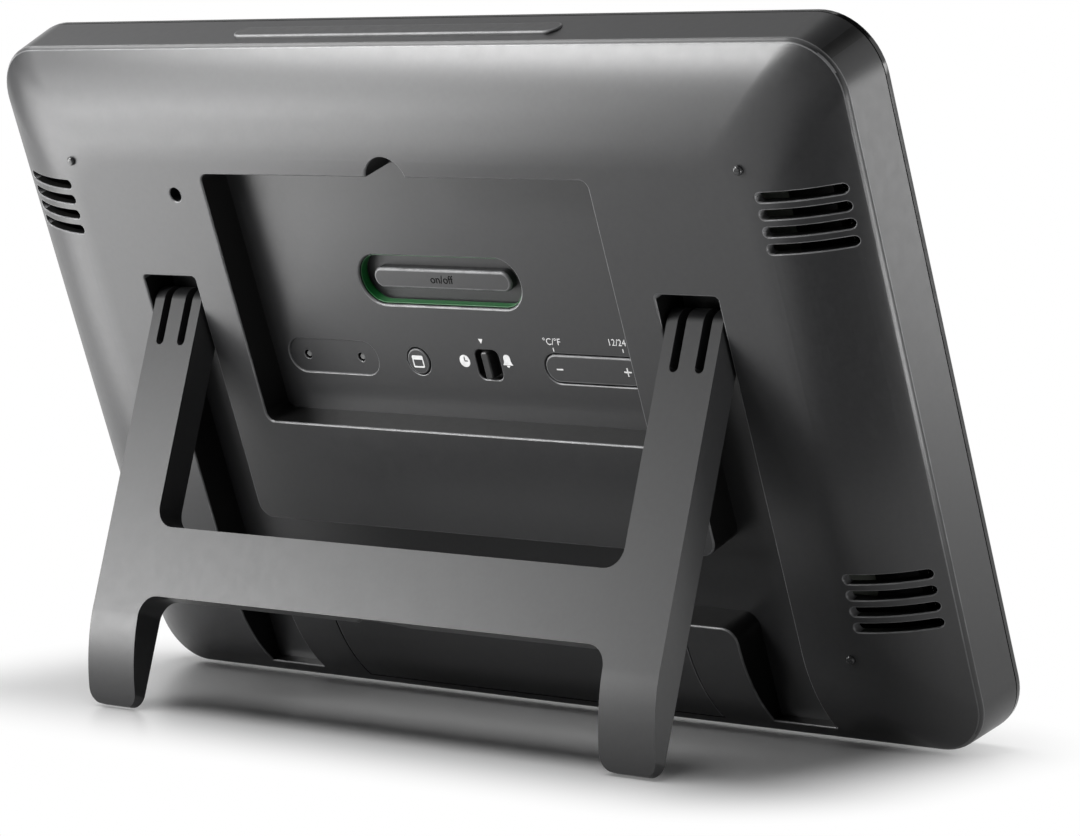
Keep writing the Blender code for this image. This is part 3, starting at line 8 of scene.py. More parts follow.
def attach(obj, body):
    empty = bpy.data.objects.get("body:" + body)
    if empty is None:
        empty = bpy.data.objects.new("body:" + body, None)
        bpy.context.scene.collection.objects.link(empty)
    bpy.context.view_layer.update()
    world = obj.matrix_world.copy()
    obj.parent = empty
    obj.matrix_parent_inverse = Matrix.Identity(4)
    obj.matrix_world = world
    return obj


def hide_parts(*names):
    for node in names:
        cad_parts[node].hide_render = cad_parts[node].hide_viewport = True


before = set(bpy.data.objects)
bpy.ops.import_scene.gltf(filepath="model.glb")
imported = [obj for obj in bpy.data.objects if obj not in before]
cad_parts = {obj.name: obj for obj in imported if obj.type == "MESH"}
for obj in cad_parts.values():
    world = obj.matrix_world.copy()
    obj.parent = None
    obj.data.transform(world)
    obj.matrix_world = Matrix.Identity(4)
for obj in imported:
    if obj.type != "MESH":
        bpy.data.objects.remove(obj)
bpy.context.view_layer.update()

# every piece is modelled in the frame of the case: x across, y out of the back, z up the case
stance = {"place": (0, 0.010111, 0.068094), "lean": -20.518}
pivot = {"y": -0.0038, "z": 0.0175, "opening": 38}
caseFrame = Matrix.Translation(stance["place"]) @ Matrix.Rotation(math.radians(stance["lean"]), 4, "X")
standFrame = (caseFrame @ Matrix.Translation((0, pivot["y"], pivot["z"]))
              @ Matrix.Rotation(math.radians(pivot["opening"]), 4, "X"))

mergeWithin = {"outline": 0.00002, "edges": 0.00001, "letters": 0.000001, "sliver": 0.000001}
# rounded corners stop just short of meeting, because slivers break the booleans
nearly = {"pill": 0.9995, "disc": 0.999, "small": 0.99}


def bevel(bm, geom, reach, segments, affect="EDGES", clamp=False):
    bmesh.ops.bevel(bm, geom=geom, offset=reach, offset_type="OFFSET", affect=affect, segments=segments,
                    profile=0.5, clamp_overlap=clamp, material=-1)


def faceLoop(bm):
    # the points round a bmesh's only face
    bm.faces.ensure_lookup_table()
    points = [v.co.copy() for v in bm.faces[0].verts]
    bm.free()
    return points


def outline(corners, segments=8, spacing=0.0):
    # a flat face through x, z corners, each corner rounded by a vertex bevel, read round its loop
    # where a spacing is given, its longer edges are cut to about that length
    bm = bmesh.new()
    verts = [bm.verts.new((x, 0, z)) for x, z, reach in corners]
    bm.faces.new(verts)
    for reach in sorted({corner[2] for corner in corners if corner[2] > 0}):
        group = [v for v, corner in zip(verts, corners) if corner[2] == reach]
        bevel(bm, group, reach, segments, "VERTICES")
    if spacing:
        for edge in [e for e in bm.edges if e.calc_length() > 1.5 * spacing]:
            bmesh.ops.bisect_edges(bm, edges=[edge], cuts=round(edge.calc_length() / spacing))
    bmesh.ops.remove_doubles(bm, verts=bm.verts, dist=mergeWithin["outline"])
    return [Vector((point.x, point.z)) for point in faceLoop(bm)]


def mirrored(corners):
    # the same corners on the other side, in the order that closes the outline
    return [(-x, z, reach) for x, z, reach in reversed(corners)]


def box(halfX, halfZ, reach=0.0, middle=(0, 0), segments=6, spacing=0.0):
    x, z = middle
    corners = [(x + halfX, z - halfZ, reach), (x + halfX, z + halfZ, reach),
               (x - halfX, z + halfZ, reach), (x - halfX, z - halfZ, reach)]
    return outline(corners, segments, spacing)


def pill(width, height, middle, segments=10, spacing=0.0):
    return box(width / 2, height / 2, height / 2 * nearly["pill"], middle, segments, spacing)


def disc(radius, middle, segments=6, fullness=nearly["disc"]):
    return box(radius, radius, radius * fullness, middle, segments)


def grown(points, amount):
    # the outline moved outwards, each point along the mitre of its two edges
    area = sum(a.x * b.y - b.x * a.y for a, b in zip(points, points[1:] + points[:1]))
    side = 1 if area > 0 else -1
    moved = []
    for before, here, after in zip(points[-1:] + points[:-1], points, points[1:] + points[:1]):
        first = (here - before).normalized()
        second = (after - here).normalized()
        normal = Vector((first.y + second.y, -first.x - second.x))
        normal = normal * (2 / normal.length_squared)
        moved.append(here + normal * amount * side)
    return moved


def loft(rings):
    # the first ring's face is extruded from ring to ring, which leaves a closed solid
    bm = bmesh.new()
    loop = [bm.verts.new(point) for point in rings[0]]
    face = bm.faces.new(loop)
    for i, ring in enumerate(rings[1:]):
        made = bmesh.ops.extrude_face_region(bm, geom=[face])["geom"]
        if i:
            bmesh.ops.delete(bm, geom=[face], context="FACES_ONLY")
        fresh = {item for item in made if isinstance(item, bmesh.types.BMVert)}
        face = next(item for item in made if isinstance(item, bmesh.types.BMFace))
        loop = [next(e.other_vert(v) for e in v.link_edges if e.other_vert(v) in fresh) for v in loop]
        for vert, point in zip(loop, ring):
            vert.co = point
    bmesh.ops.recalc_face_normals(bm, faces=bm.faces)
    return bm


def collar(rings):
    # rings bridged each to the next and the last to the first: a closed frame round an open middle
    bm = bmesh.new()
    loops = []
    for ring in rings:
        verts = [bm.verts.new(point) for point in ring]
        loops.append([bm.edges.new(pair) for pair in zip(verts, verts[1:] + verts[:1])])
    for first, second in zip(loops, loops[1:] + loops[:1]):
        bmesh.ops.bridge_loops(bm, edges=first + second)
    bmesh.ops.recalc_face_normals(bm, faces=bm.faces)
    return bm


def atDepth(points, depth):
    # outline points placed at a depth below the flat, a number or a function of x and z
    if callable(depth):
        return [Vector((p.x, -depth(p.x, p.y), p.y)) for p in points]
    return [Vector((p.x, -depth, p.y)) for p in points]


def slab(points, low, high):
    return loft([atDepth(points, high), atDepth(points, low)])


def quarter(edge, angle):
    # how far in and how far down a rounded edge lies at an angle
    return edge * (1 - math.cos(angle)), edge * (1 - math.sin(angle))


def pocket(points, floor, mouth=0.0, lip=0.0004, above=0.003):
    # cutter of a pocket whose mouth is rounded; mouth is the depth of the surface that it opens in
    surface = mouth if callable(mouth) else lambda x, z: mouth
    lipAngles = (0, 20, 40, 60, 80)
    rings = [atDepth(points, floor)]
    for angle in lipAngles:
        flare, sink = quarter(lip, math.radians(angle))
        rings.append(atDepth(grown(points, flare), lambda x, z: surface(x, z) + sink))
    rings.append(atDepth(grown(points, flare), lambda x, z: surface(x, z) - above))
    return loft(rings)


def keyCap(points, foot, top, edge, steps=5):
    # a cap that stands from foot to top, both depths, with its far edge rounded
    side = 1 if foot > top else -1
    rings = [atDepth(points, foot)]
    for i in range(steps + 1):
        inset, sink = quarter(edge, math.pi / 2 * i / steps)
        rings.append(atDepth(grown(points, -inset), top + side * sink))
    return loft(rings)


def rod(radius, length, middle, segments):
    # a round bar that lies across the clock
    bm = bmesh.new()
    bmesh.ops.create_cone(bm, segments=segments, radius1=radius, radius2=radius, depth=length, cap_ends=True)
    bmesh.ops.rotate(bm, verts=bm.verts, matrix=Matrix.Rotation(math.pi / 2, 3, "Y"))
    bmesh.ops.translate(bm, verts=bm.verts, vec=middle)
    return bm


def merge(parts):
    # several closed forms in one bmesh
    whole = bmesh.new()
    for part in parts:
        mesh = bpy.data.meshes.new("part")
        part.to_mesh(mesh)
        part.free()
        whole.from_mesh(mesh)
        bpy.data.meshes.remove(mesh)
    return whole


def addPiece(name, bm, look=None, matrix=None):
    mesh = bpy.data.meshes.new(name)
    if matrix is not None:
        bmesh.ops.transform(bm, matrix=matrix, verts=bm.verts)
    bm.to_mesh(mesh)
    bm.free()
    piece = bpy.data.objects.new(name, mesh)
    bpy.context.scene.collection.objects.link(piece)
    if look:
        mesh.materials.append(look)
    return piece


def combine(target, name, bm, operation="DIFFERENCE"):
    cutter = bm if isinstance(bm, bpy.types.Object) else addPiece("tool_" + name, bm)
    cutter.hide_render = True
    change = target.modifiers.new(name, "BOOLEAN")
    change.operation = operation
    change.solver = "EXACT"
    change.object = cutter


def bake(piece):
    # the mesh that the booleans give takes the place of the plain one
    bpy.context.view_layer.update()
    shaped = piece.evaluated_get(bpy.context.evaluated_depsgraph_get())
    mesh = bpy.data.meshes.new_from_object(shaped)
    bm = bmesh.new()
    bm.from_mesh(mesh)
    bmesh.ops.dissolve_degenerate(bm, dist=mergeWithin["sliver"], edges=bm.edges)
    bm.to_mesh(mesh)
    bm.free()
    tools = [change.object for change in piece.modifiers if change.type == "BOOLEAN"]
    piece.modifiers.clear()
    piece.data = mesh
    for tool in tools:
        bpy.data.objects.remove(tool)
    return piece


def roundEdges(piece, reach, angle=35, segments=3):
    flatWithin = math.radians(0.5)
    bm = bmesh.new()
    bm.from_mesh(piece.data)
    bmesh.ops.remove_doubles(bm, verts=bm.verts, dist=mergeWithin["edges"])
    bmesh.ops.dissolve_limit(bm, angle_limit=flatWithin, verts=bm.verts, edges=bm.edges)
    sharp = [e for e in bm.edges if e.is_manifold and e.calc_face_angle(0) > math.radians(angle)]
    bevel(bm, sharp, reach, segments, clamp=True)
    bm.to_mesh(piece.data)
    bm.free()


# where the painted highlight on rounded edges and the painted shade on the pocket walls are put
paintedLight = {
    "width": 0.0003,                    # widest face that counts as part of a rounded edge
    "leastTurn": 8, "mostTurn": 50,     # how far it turns from its neighbours, in degrees
    "wallTilt": 0.35, "wallDepth": 0.0004, "wallMargin": 0.002,
}


def markHighlightEdges(mesh):
    # 1 on the narrow faces that round an edge, which the material paints lighter as a painted highlight
    bm = bmesh.new()
    bm.from_mesh(mesh)
    paintedEdgeHighlight = bm.faces.layers.float.new("paintedEdgeHighlight")
    for face in bm.faces:
        longest = max(e.calc_length() for e in face.edges)
        turns = [math.degrees(e.calc_face_angle(0)) for e in face.edges if e.calc_length() > longest / 2]
        bent = any(paintedLight["leastTurn"] < turn < paintedLight["mostTurn"] for turn in turns)
        if bent and face.calc_area() < paintedLight["width"] * longest:
            face[paintedEdgeHighlight] = 1.0
    bm.to_mesh(mesh)
    bm.free()


def markShadedWalls(mesh):
    # 1 on the walls of the pockets in the back, which the material paints near black as painted shade
    bm = bmesh.new()
    bm.from_mesh(mesh)
    wall = bm.faces.layers.float.new("paintedPocketShade")
    halfX, halfZ = case["halfWidth"] - paintedLight["wallMargin"], case["halfHeight"] - paintedLight["wallMargin"]
    for face in bm.faces:
        middle = face.calc_center_median()
        inside = abs(middle.x) < halfX and abs(middle.z) < halfZ
        if inside and abs(face.normal.y) < paintedLight["wallTilt"] and middle.y < -paintedLight["wallDepth"]:
            face[wall] = 1.0
    bm.to_mesh(mesh)
    bm.free()


def finishPiece(piece, body, replaced, look, matrix=caseFrame):
    # into place, smooth shading with creases, and what the piece stands for
    crease = math.radians(32)
    markHighlightEdges(piece.data)
    piece.data.transform(matrix)
    piece.data.materials.clear()
    piece.data.materials.append(look)
    for face in piece.data.polygons:
        face.material_index = 0
    piece.data.shade_smooth()
    piece.data.set_sharp_from_angle(angle=crease)
    weighted = piece.modifiers.new("weightedNormal", "WEIGHTED_NORMAL")
    weighted.keep_sharp = True
    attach(piece, body)
    if replaced:
        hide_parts(*replaced)
    print("made", piece.name, len(piece.data.polygons), "faces")


def newMaterial(name):
    material = bpy.data.materials.new(name)
    material.use_nodes = True
    tree = material.node_tree
    return material, tree, tree.nodes["Principled BSDF"]


def addNode(tree, kind, values=(), links=(), **settings):
    # a shader node with its settings, the values of its sockets, and what is wired into them
    made = tree.nodes.new("ShaderNode" + kind)
    for name, setting in settings.items():
        setattr(made, name, setting)
    for socket, value in dict(values).items():
        made.inputs[socket].default_value = value
    for socket, source in dict(links).items():
        tree.links.new(source, made.inputs[socket])
    return made


def noise(tree, scale, detail=3.0, roughness=0.55, stretch=None):
    place = addNode(tree, "TexCoord").outputs["Object"]
    if stretch:
        place = addNode(tree, "Mapping", {"Scale": stretch}, {"Vector": place}).outputs["Vector"]
    values = {"Scale": scale, "Detail": detail, "Roughness": roughness}
    return addNode(tree, "TexNoise", values, {"Vector": place}).outputs["Fac"]


def spread(tree, value, low, high, start=0.3, end=0.7, curve="LINEAR"):
    values = {"From Min": start, "From Max": end, "To Min": low, "To Max": high}
    return addNode(tree, "MapRange", values, {"Value": value}, interpolation_type=curve).outputs["Result"]


def tones(tree, value, dark, light):
    ramp = addNode(tree, "ValToRGB", links={"Fac": value})
    for stop, position, colour in zip(ramp.color_ramp.elements, (0.3, 0.7), (dark, light)):
        stop.position = position
        stop.color = (*colour, 1)
    return ramp.outputs["Color"]


def bumps(tree, value, strength, distance, normal=None):
    links = {"Height": value, "Normal": normal} if normal else {"Height": value}
    return addNode(tree, "Bump", {"Strength": strength, "Distance": distance}, links).outputs["Normal"]


def marked(tree, name, under, over, strength=None):
    # one colour on the faces that carry a mark, another on the rest
    share = addNode(tree, "Attribute", attribute_name=name).outputs["Fac"]
    if strength:
        share = addNode(tree, "Math", links={0: share, 1: strength}, operation="MULTIPLY").outputs[0]
    mix = addNode(tree, "Mix", {"B": (*over, 1)}, {"Factor": share, "A": under}, data_type="RGBA")
    return mix.outputs["Result"]


def moulded(name, look):
    # moulded plastic: two close tones, a fine spark texture, and a slow change of gloss
    material, tree, shader = newMaterial(name)
    colour = tones(tree, noise(tree, look["toneScale"]), look["dark"], look["light"])
    # painted shade: the walls of the pockets in the back are coloured near black
    if "wall" in look:
        colour = marked(tree, "paintedPocketShade", colour, look["wall"])
    # painted highlight: the rounded edges take a lighter colour, patchy by a noise
    if "edgeHighlight" in look:
        highlightStrength = spread(tree, noise(tree, look["highlightScale"]), *look["highlightSpread"])
        colour = marked(tree, "paintedEdgeHighlight", colour, look["edgeHighlight"], highlightStrength)
    tree.links.new(colour, shader.inputs["Base Color"])
    gloss = spread(tree, noise(tree, look["glossScale"], detail=4), *look["gloss"])
    tree.links.new(gloss, shader.inputs["Roughness"])
    grain = bumps(tree, noise(tree, look["grainScale"], detail=2), look["grain"], look["grainDepth"])
    grain = bumps(tree, noise(tree, look["waveScale"], detail=1), look["wave"], look["waveDepth"], grain)
    tree.links.new(grain, shader.inputs["Normal"])
    shader.inputs["Specular IOR Level"].default_value = look["specular"]
    return material


def grey(dark, light):
    return {"dark": (dark, dark, dark), "light": (light, light, light)}


plastic = {
    "dark": (0.020, 0.0202, 0.0210), "light": (0.0235, 0.0237, 0.0246), "toneScale": 900,
    "gloss": (0.31, 0.35), "glossScale": 420, "specular": 0.5,
    "grain": 0.16, "grainScale": 2600, "grainDepth": 0.00002,
    "wave": 0.004, "waveScale": 40, "waveDepth": 0.00005,
}
# satin plastic with a painted highlight, a lighter colour on the rounded edges
satin = {**plastic, "edgeHighlight": (0.15, 0.151, 0.154), "highlightSpread": (0.45, 1.0), "highlightScale": 260}
mouldings = {
    # the shell's pocket walls take a near-black painted shade
    "shell": ("satinShell", {**satin, "wall": (0.004, 0.004, 0.004)}),
    "stand": ("satinStand", {**satin, "dark": (0.024, 0.0242, 0.0251), "light": (0.0275, 0.0277, 0.0287),
                             "gloss": (0.33, 0.37)}),
    "key": ("satinKey", {**satin, "gloss": (0.38, 0.46), "grainScale": 3200}),
    "black": ("glossBlack", {**plastic, **grey(0.006, 0.009), "gloss": (0.10, 0.18), "grain": 0.03}),
    "slider": ("satinSlider", {**plastic, **grey(0.012, 0.018), "gloss": (0.32, 0.40)}),
    "green": ("greenPlastic", {**plastic, "dark": (0.003, 0.075, 0.014), "light": (0.005, 0.098, 0.020),
                               "gloss": (0.28, 0.36), "grain": 0.05}),
    "peg": ("polishedPeg", {**plastic, "gloss": (0.12, 0.18), "grain": 0.03}),
    "pin": ("greyPin", {**plastic, **grey(0.10, 0.13), "gloss": (0.45, 0.55), "grain": 0.08}),
    "letter": ("blackLetter", {**plastic, **grey(0.002, 0.003), "gloss": (0.70, 0.80), "specular": 0.05}),
    "ink": ("printedInk", {**plastic, **grey(0.62, 0.74), "gloss": (0.50, 0.60), "grain": 0.10}),
    "rubber": ("siliconeRubber", {**plastic, "dark": (0.26, 0.27, 0.28), "light": (0.32, 0.33, 0.34),
                                  "gloss": (0.62, 0.75), "grain": 0.20}),
    "potting": ("blackResin", {**plastic, **grey(0.010, 0.017), "gloss": (0.25, 0.45), "grain": 0.15}),
    "ferrite": ("ferriteRod", {**plastic, "dark": (0.035, 0.034, 0.036), "light": (0.055, 0.053, 0.055),
                               "gloss": (0.55, 0.70), "grain": 0.40, "grainScale": 1800}),
    "segment": ("displaySegment", {**plastic, "dark": (0.012, 0.013, 0.012), "light": (0.018, 0.019, 0.018),
                                   "gloss": (0.30, 0.36), "grain": 0.02}),
    "jacket": ("cellJacket", {**plastic, "dark": (0.045, 0.055, 0.075), "light": (0.049, 0.059, 0.080),
                              "gloss": (0.22, 0.26), "grain": 0.03, "waveScale": 60, "wave": 0.02}),
}
laminate = {"dark": (0.010, 0.085, 0.030), "light": (0.016, 0.125, 0.045), "toneScale": 90,
            "weave": 0.10, "weaveScale": 420, "weaveWarp": 1.5, "weaveDepth": 0.00003,
            "gloss": (0.30, 0.48), "glossScale": 200}
steel = {"dark": (0.56, 0.55, 0.52), "light": (0.68, 0.67, 0.63), "toneScale": 300,
         "gloss": (0.22, 0.38), "lines": 0.15, "lineScale": 900, "lineStretch": (0.08, 1, 1),
         "lineDepth": 0.00002}
window = {"colour": (0.97, 0.98, 0.98, 1), "index": 1.30, "gloss": (0.02, 0.05), "glossScale": 60,
          "wave": 0.02, "waveScale": 25, "waveDepth": 0.0001}
reflector = {"dark": (0.36, 0.39, 0.34), "light": (0.42, 0.45, 0.39), "toneScale": 1500,
             "gloss": (0.28, 0.36), "glossScale": 40, "coat": 0.6, "coatGloss": 0.05}


def makeFinishes():
    finishes = {slot: moulded(name, look) for slot, (name, look) in mouldings.items()}
    finishes["board"] = boardFinish()
    finishes["metal"] = metalFinish()
    finishes["lens"] = lensFinish()
    finishes["glass"] = displayFinish()
    return finishes


def boardFinish():
    # green solder resist over a woven laminate
    material, tree, shader = newMaterial("circuitBoard")
    colour = tones(tree, noise(tree, laminate["toneScale"]), laminate["dark"], laminate["light"])
    place = addNode(tree, "TexCoord").outputs["Object"]
    weave = addNode(tree, "TexWave", {"Scale": laminate["weaveScale"], "Distortion": laminate["weaveWarp"]},
                    {"Vector": place}).outputs["Fac"]
    gloss = spread(tree, noise(tree, laminate["glossScale"]), *laminate["gloss"])
    tree.links.new(colour, shader.inputs["Base Color"])
    tree.links.new(bumps(tree, weave, laminate["weave"], laminate["weaveDepth"]), shader.inputs["Normal"])
    tree.links.new(gloss, shader.inputs["Roughness"])
    return material


def metalFinish():
    # drawn and plated spring steel: fine lines along the strip
    material, tree, shader = newMaterial("platedSteel")
    colour = tones(tree, noise(tree, steel["toneScale"]), steel["dark"], steel["light"])
    lines = noise(tree, steel["lineScale"], roughness=0.6, stretch=steel["lineStretch"])
    tree.links.new(colour, shader.inputs["Base Color"])
    tree.links.new(bumps(tree, lines, steel["lines"], steel["lineDepth"]), shader.inputs["Normal"])
    tree.links.new(spread(tree, lines, *steel["gloss"]), shader.inputs["Roughness"])
    shader.inputs["Metallic"].default_value = 1.0
    return material


def lensFinish():
    # clear moulded window, very slightly wavy
    material, tree, shader = newMaterial("clearLens")
    gloss = spread(tree, noise(tree, window["glossScale"]), *window["gloss"])
    wave = bumps(tree, noise(tree, window["waveScale"], detail=1), window["wave"], window["waveDepth"])
    tree.links.new(gloss, shader.inputs["Roughness"])
    tree.links.new(wave, shader.inputs["Normal"])
    shader.inputs["Base Color"].default_value = window["colour"]
    shader.inputs["Transmission Weight"].default_value = 1.0
    shader.inputs["IOR"].default_value = window["index"]
    return material


def displayFinish():
    # grey-green reflector seen through the display's glass
    material, tree, shader = newMaterial("displayGlass")
    colour = tones(tree, noise(tree, reflector["toneScale"], detail=2), reflector["dark"], reflector["light"])
    gloss = spread(tree, noise(tree, reflector["glossScale"]), *reflector["gloss"])
    tree.links.new(colour, shader.inputs["Base Color"])
    tree.links.new(gloss, shader.inputs["Roughness"])
    shader.inputs["Coat Weight"].default_value = reflector["coat"]
    shader.inputs["Coat Roughness"].default_value = reflector["coatGloss"]
    return material


case = {
    "halfWidth": 0.1137,        # of the sharp rear edge
    "halfHeight": 0.0757,
    "edgeRadius": 0.0117,       # corner radius at that edge, and at the flat of the back
    "flatRadius": 0.0100,
    "edgeDepth": 0.0080,
    "domeWidth": 0.0240,
    "domeRadius": 0.0400,
    "frontDepth": 0.0190,
    "draft": 0.0013,
    "wall": 0.0020,
    "edgeRound": 0.0008,
    "edgeSteps": 5,
    "domeSteps": 18,
    "cornerSteps": 14,
    "halvings": 24,             # how finely the dome's depth at a point is found
    "flatWithin": 0.0001,
}
channel = {
    "inner": 0.0629, "outer": 0.0785, "top": 0.0257, "bottom": -0.0720, "barTop": -0.0319,
    "barBottom": -0.0482, "corner": 0.0010, "fillet": 0.0035, "depth": 0.00825, "wall": 0.0018, "lip": 0.0004,
    "spacing": 0.0015,
}
recess = {
    "half": 0.0528, "bottom": -0.0080, "top": 0.0496, "corner": 0.0020, "depth": 0.0076, "lip": 0.0004,
    "notchRadius": 0.0055, "notchMiddle": 0.0485, "above": 0.004,
}
vents = {
    "width": 0.0176, "height": 0.0020, "middle": 0.1019, "pitch": 0.00355, "count": 4,
    "first": (0.0466, -0.03435), "reach": 0.0125, "lip": 0.00030, "spacing": 0.0012,
}
sounder = {"place": (0.0616, 0.0448), "radius": 0.0016, "corner": 0.00159, "depth": 0.0040, "lip": 0.0003}
bay = {
    "rows": ((-0.00755, -0.05505), (-0.01045, -0.0655)),    # y and z of the middles of the two rows of cells
    "cell": 0.00525, "gap": 0.0003, "wall": 0.0012, "half": 0.0476,
}
door = {
    "half": 0.0493, "bottom": -0.0729, "top": -0.0482, "skin": 0.0015, "gap": 0.0003,
    "tab": 0.0300, "tabWidth": 0.0080, "tabReach": 0.0010, "tabRoot": 0.0012, "tabRim": 0.0006,
    "tabPocket": 0.0036, "edge": 0.0002, "edgeAngle": 50, "rib": (0.006, 0.0005), "ribZ": -0.0503,
    "ribDepths": (0.0009, 0.0040), "tabGap": 0.0001,
}
keys = {
    "row": 0.0047, "floorIn": 0.0094,
    "alarm": (0.0441, 0.0113, (0.0, 0.0232)), "alarmLip": 0.0005,
    "roundX": 0.0113, "roundRadius": 0.0032, "roundLip": 0.00025,
    "modeX": -0.0080, "modeHalf": (0.00325, 0.0034), "modeCorner": 0.0016,
    "rocker": (0.0258, 0.0068, (-0.0361, 0.0047)),
    "panel": (0.0256, 0.0078, (0.0357, 0.0047)), "panelDepth": 0.0004,
    "pins": (0.04345, 0.02795), "pinRadius": 0.0010, "pinLip": 0.0002, "lip": 0.0003,
}
snooze = {
    "width": 0.0886, "height": 0.0057, "y": -0.0134, "proud": 0.0005, "slotDepth": 0.006, "lip": 0.0003,
    "play": 0.0006, "foot": 0.0030, "edge": 0.0004,
    "flange": 0.0018, "flangeThick": 0.0010, "flangeGap": 0.0003,
}
overcut = {"above": -0.001, "below": 0.016, "past": 0.001}    # how far cutting tools reach past the skin


def ringRadius(inset):
    share = inset / case["domeWidth"]
    return case["edgeRadius"] + (case["flatRadius"] - case["edgeRadius"]) * share


def dropAt(x, z):
    # depth of the domed border below the flat at a point of the back, found by halving the inset
    low, high = 0.0, case["domeWidth"]
    for step in range(case["halvings"]):
        inset = (low + high) / 2
        radius = ringRadius(inset)
        across = abs(x) - (case["halfWidth"] - inset - radius)
        along = abs(z) - (case["halfHeight"] - inset - radius)
        reach = math.hypot(max(across, 0), max(along, 0)) + min(max(across, along), 0)
        if reach < radius:
            low = inset
        else:
            high = inset
    out = case["domeWidth"] - low
    if out < case["flatWithin"]:
        return 0.0
    return case["domeRadius"] - math.sqrt(case["domeRadius"] ** 2 - out ** 2)


def flareAt(depth, edgeDepth=case["edgeDepth"]):
    # how far the drafted side wall stands out at a depth
    return case["draft"] * (depth - edgeDepth) / (case["frontDepth"] - case["edgeDepth"])


def caseForm(offset, frontDepth=case["frontDepth"]):
    # the cover's form at an offset inside its skin, from the front edge over the dome to the flat
    radius = case["domeRadius"] - offset
    steepest = math.asin((case["domeWidth"] - offset) / radius)
    edgeDepth = case["domeRadius"] - radius * math.cos(steepest)
    levels = [(offset - flareAt(frontDepth, edgeDepth), frontDepth)]
    for i in range(case["domeSteps"] + 1):
        angle = steepest * (1 - i / case["domeSteps"])
        inset = case["domeWidth"] - radius * math.sin(angle)
        levels.append((inset, case["domeRadius"] - radius * math.cos(angle)))
    rings = []
    for inset, depth in levels:
        share = max(0, inset) / case["domeWidth"]
        edge = case["edgeRadius"] - offset
        corner = edge + (case["flatRadius"] - edge) * share - min(0, inset)
        halfX, halfZ = case["halfWidth"] - inset, case["halfHeight"] - inset
        rings.append(atDepth(box(halfX, halfZ, corner, segments=case["cornerSteps"]), depth))
    bm = loft(rings)
    if offset == 0:
        rim = [e for e in bm.edges if all(abs(v.co.y + edgeDepth) < mergeWithin["sliver"] for v in e.verts)]
        bevel(bm, rim, case["edgeRound"], case["edgeSteps"])
    return bm


def channelPoints(grow=0.0, spacing=0.0):
    outer = channel["outer"] + grow
    inner = channel["inner"] - grow
    top = channel["top"] + grow
    bottom = channel["bottom"] - grow
    corner = channel["corner"] + grow
    fillet = channel["fillet"] - grow / 2
    half = [(outer, top, corner), (inner, top, corner), (inner, channel["barTop"] + grow, fillet)]
    foot = [(inner, channel["barBottom"] - grow, fillet), (inner, bottom, 0), (outer, bottom, 0)]
    return outline(half + mirrored(half) + mirrored(foot) + foot, segments=6, spacing=spacing)


def recessPoints(grow=0.0):
    half = recess["half"] + grow
    top = recess["top"] + grow
    radius = recess["notchRadius"] + grow
    middle = recess["notchMiddle"]
    start = math.asin((top - middle) / radius)
    crown = radius * math.tan((math.pi / 2 - start) / 2)
    corner = recess["corner"] + grow
    right = [(half, recess["bottom"] - grow, corner), (half, top, corner), (radius * math.cos(start), top, 0),
             (crown, middle + radius, crown * nearly["small"])]
    return outline(right + mirrored(right), segments=10)


def addBay(target, name, row, radius, half):
    # a trough with a round floor, open to the back
    y, z = row
    combine(target, name + "Trough", rod(radius, 2 * half, (0, y, z), segments=48))
    combine(target, name + "Mouth", slab(box(half, radius, middle=(0, z)), overcut["above"], -y))


def makeHollow():
    # the inside of the case, which leaves a wall round every pocket of the back
    wall = channel["wall"]
    hollow = addPiece("tool_hollow", caseForm(case["wall"], case["frontDepth"] + overcut["past"]))
    combine(hollow, "channelBlock", slab(channelPoints(wall), overcut["above"], channel["depth"] + wall))
    combine(hollow, "recessBlock", slab(recessPoints(wall), 2 * overcut["above"], keys["floorIn"]))
    for i, row in enumerate(bay["rows"]):
        radius = bay["cell"] + bay["gap"] + bay["wall"]
        addBay(hollow, f"bayBlock{i}", row, radius, door["half"] + door["gap"] + bay["wall"])
    return bake(hollow)


def doorBlock(play):
    # a block over the whole door, with some play all round
    middle = (door["top"] + door["bottom"]) / 2
    half = (door["top"] - door["bottom"]) / 2
    return slab(box(door["half"] + play, half + play, middle=(0, middle)), overcut["above"], overcut["below"])


def tabSlot(side):
    # a slot behind the rim below the door, for one of the door's two tabs
    low = door["bottom"] - door["tabReach"] - door["gap"]
    high = door["bottom"] + 2 * door["tabRoot"]
    middle = (side * door["tab"], (high + low) / 2)
    points = box(door["tabWidth"] / 2 + door["gap"], (high - low) / 2, middle=middle)
    slot = addPiece("tool_tabSlot", slab(points, 0.0, overcut["below"]))
    combine(slot, "rim", caseForm(door["tabRim"]), "INTERSECT")
    combine(slot, "back", caseForm(door["tabPocket"]))
    return bake(slot)


def upright():
    # from a plan in x and y to the top wall of the case, depth measured down from the wall
    wallTop = case["halfHeight"] + flareAt(-snooze["y"])
    return Matrix(((1, 0, 0, 0), (0, 0, 1, 0), (0, 1, 0, wallTop), (0, 0, 0, 1)))


def snoozeSlot():
    # a slot through the top wall, modelled lying down and turned up
    points = pill(snooze["width"], snooze["height"], (0, snooze["y"]))
    slot = pocket(points, snooze["slotDepth"], 0.0, snooze["lip"])
    bmesh.ops.transform(slot, verts=slot.verts, matrix=upright())
    return slot


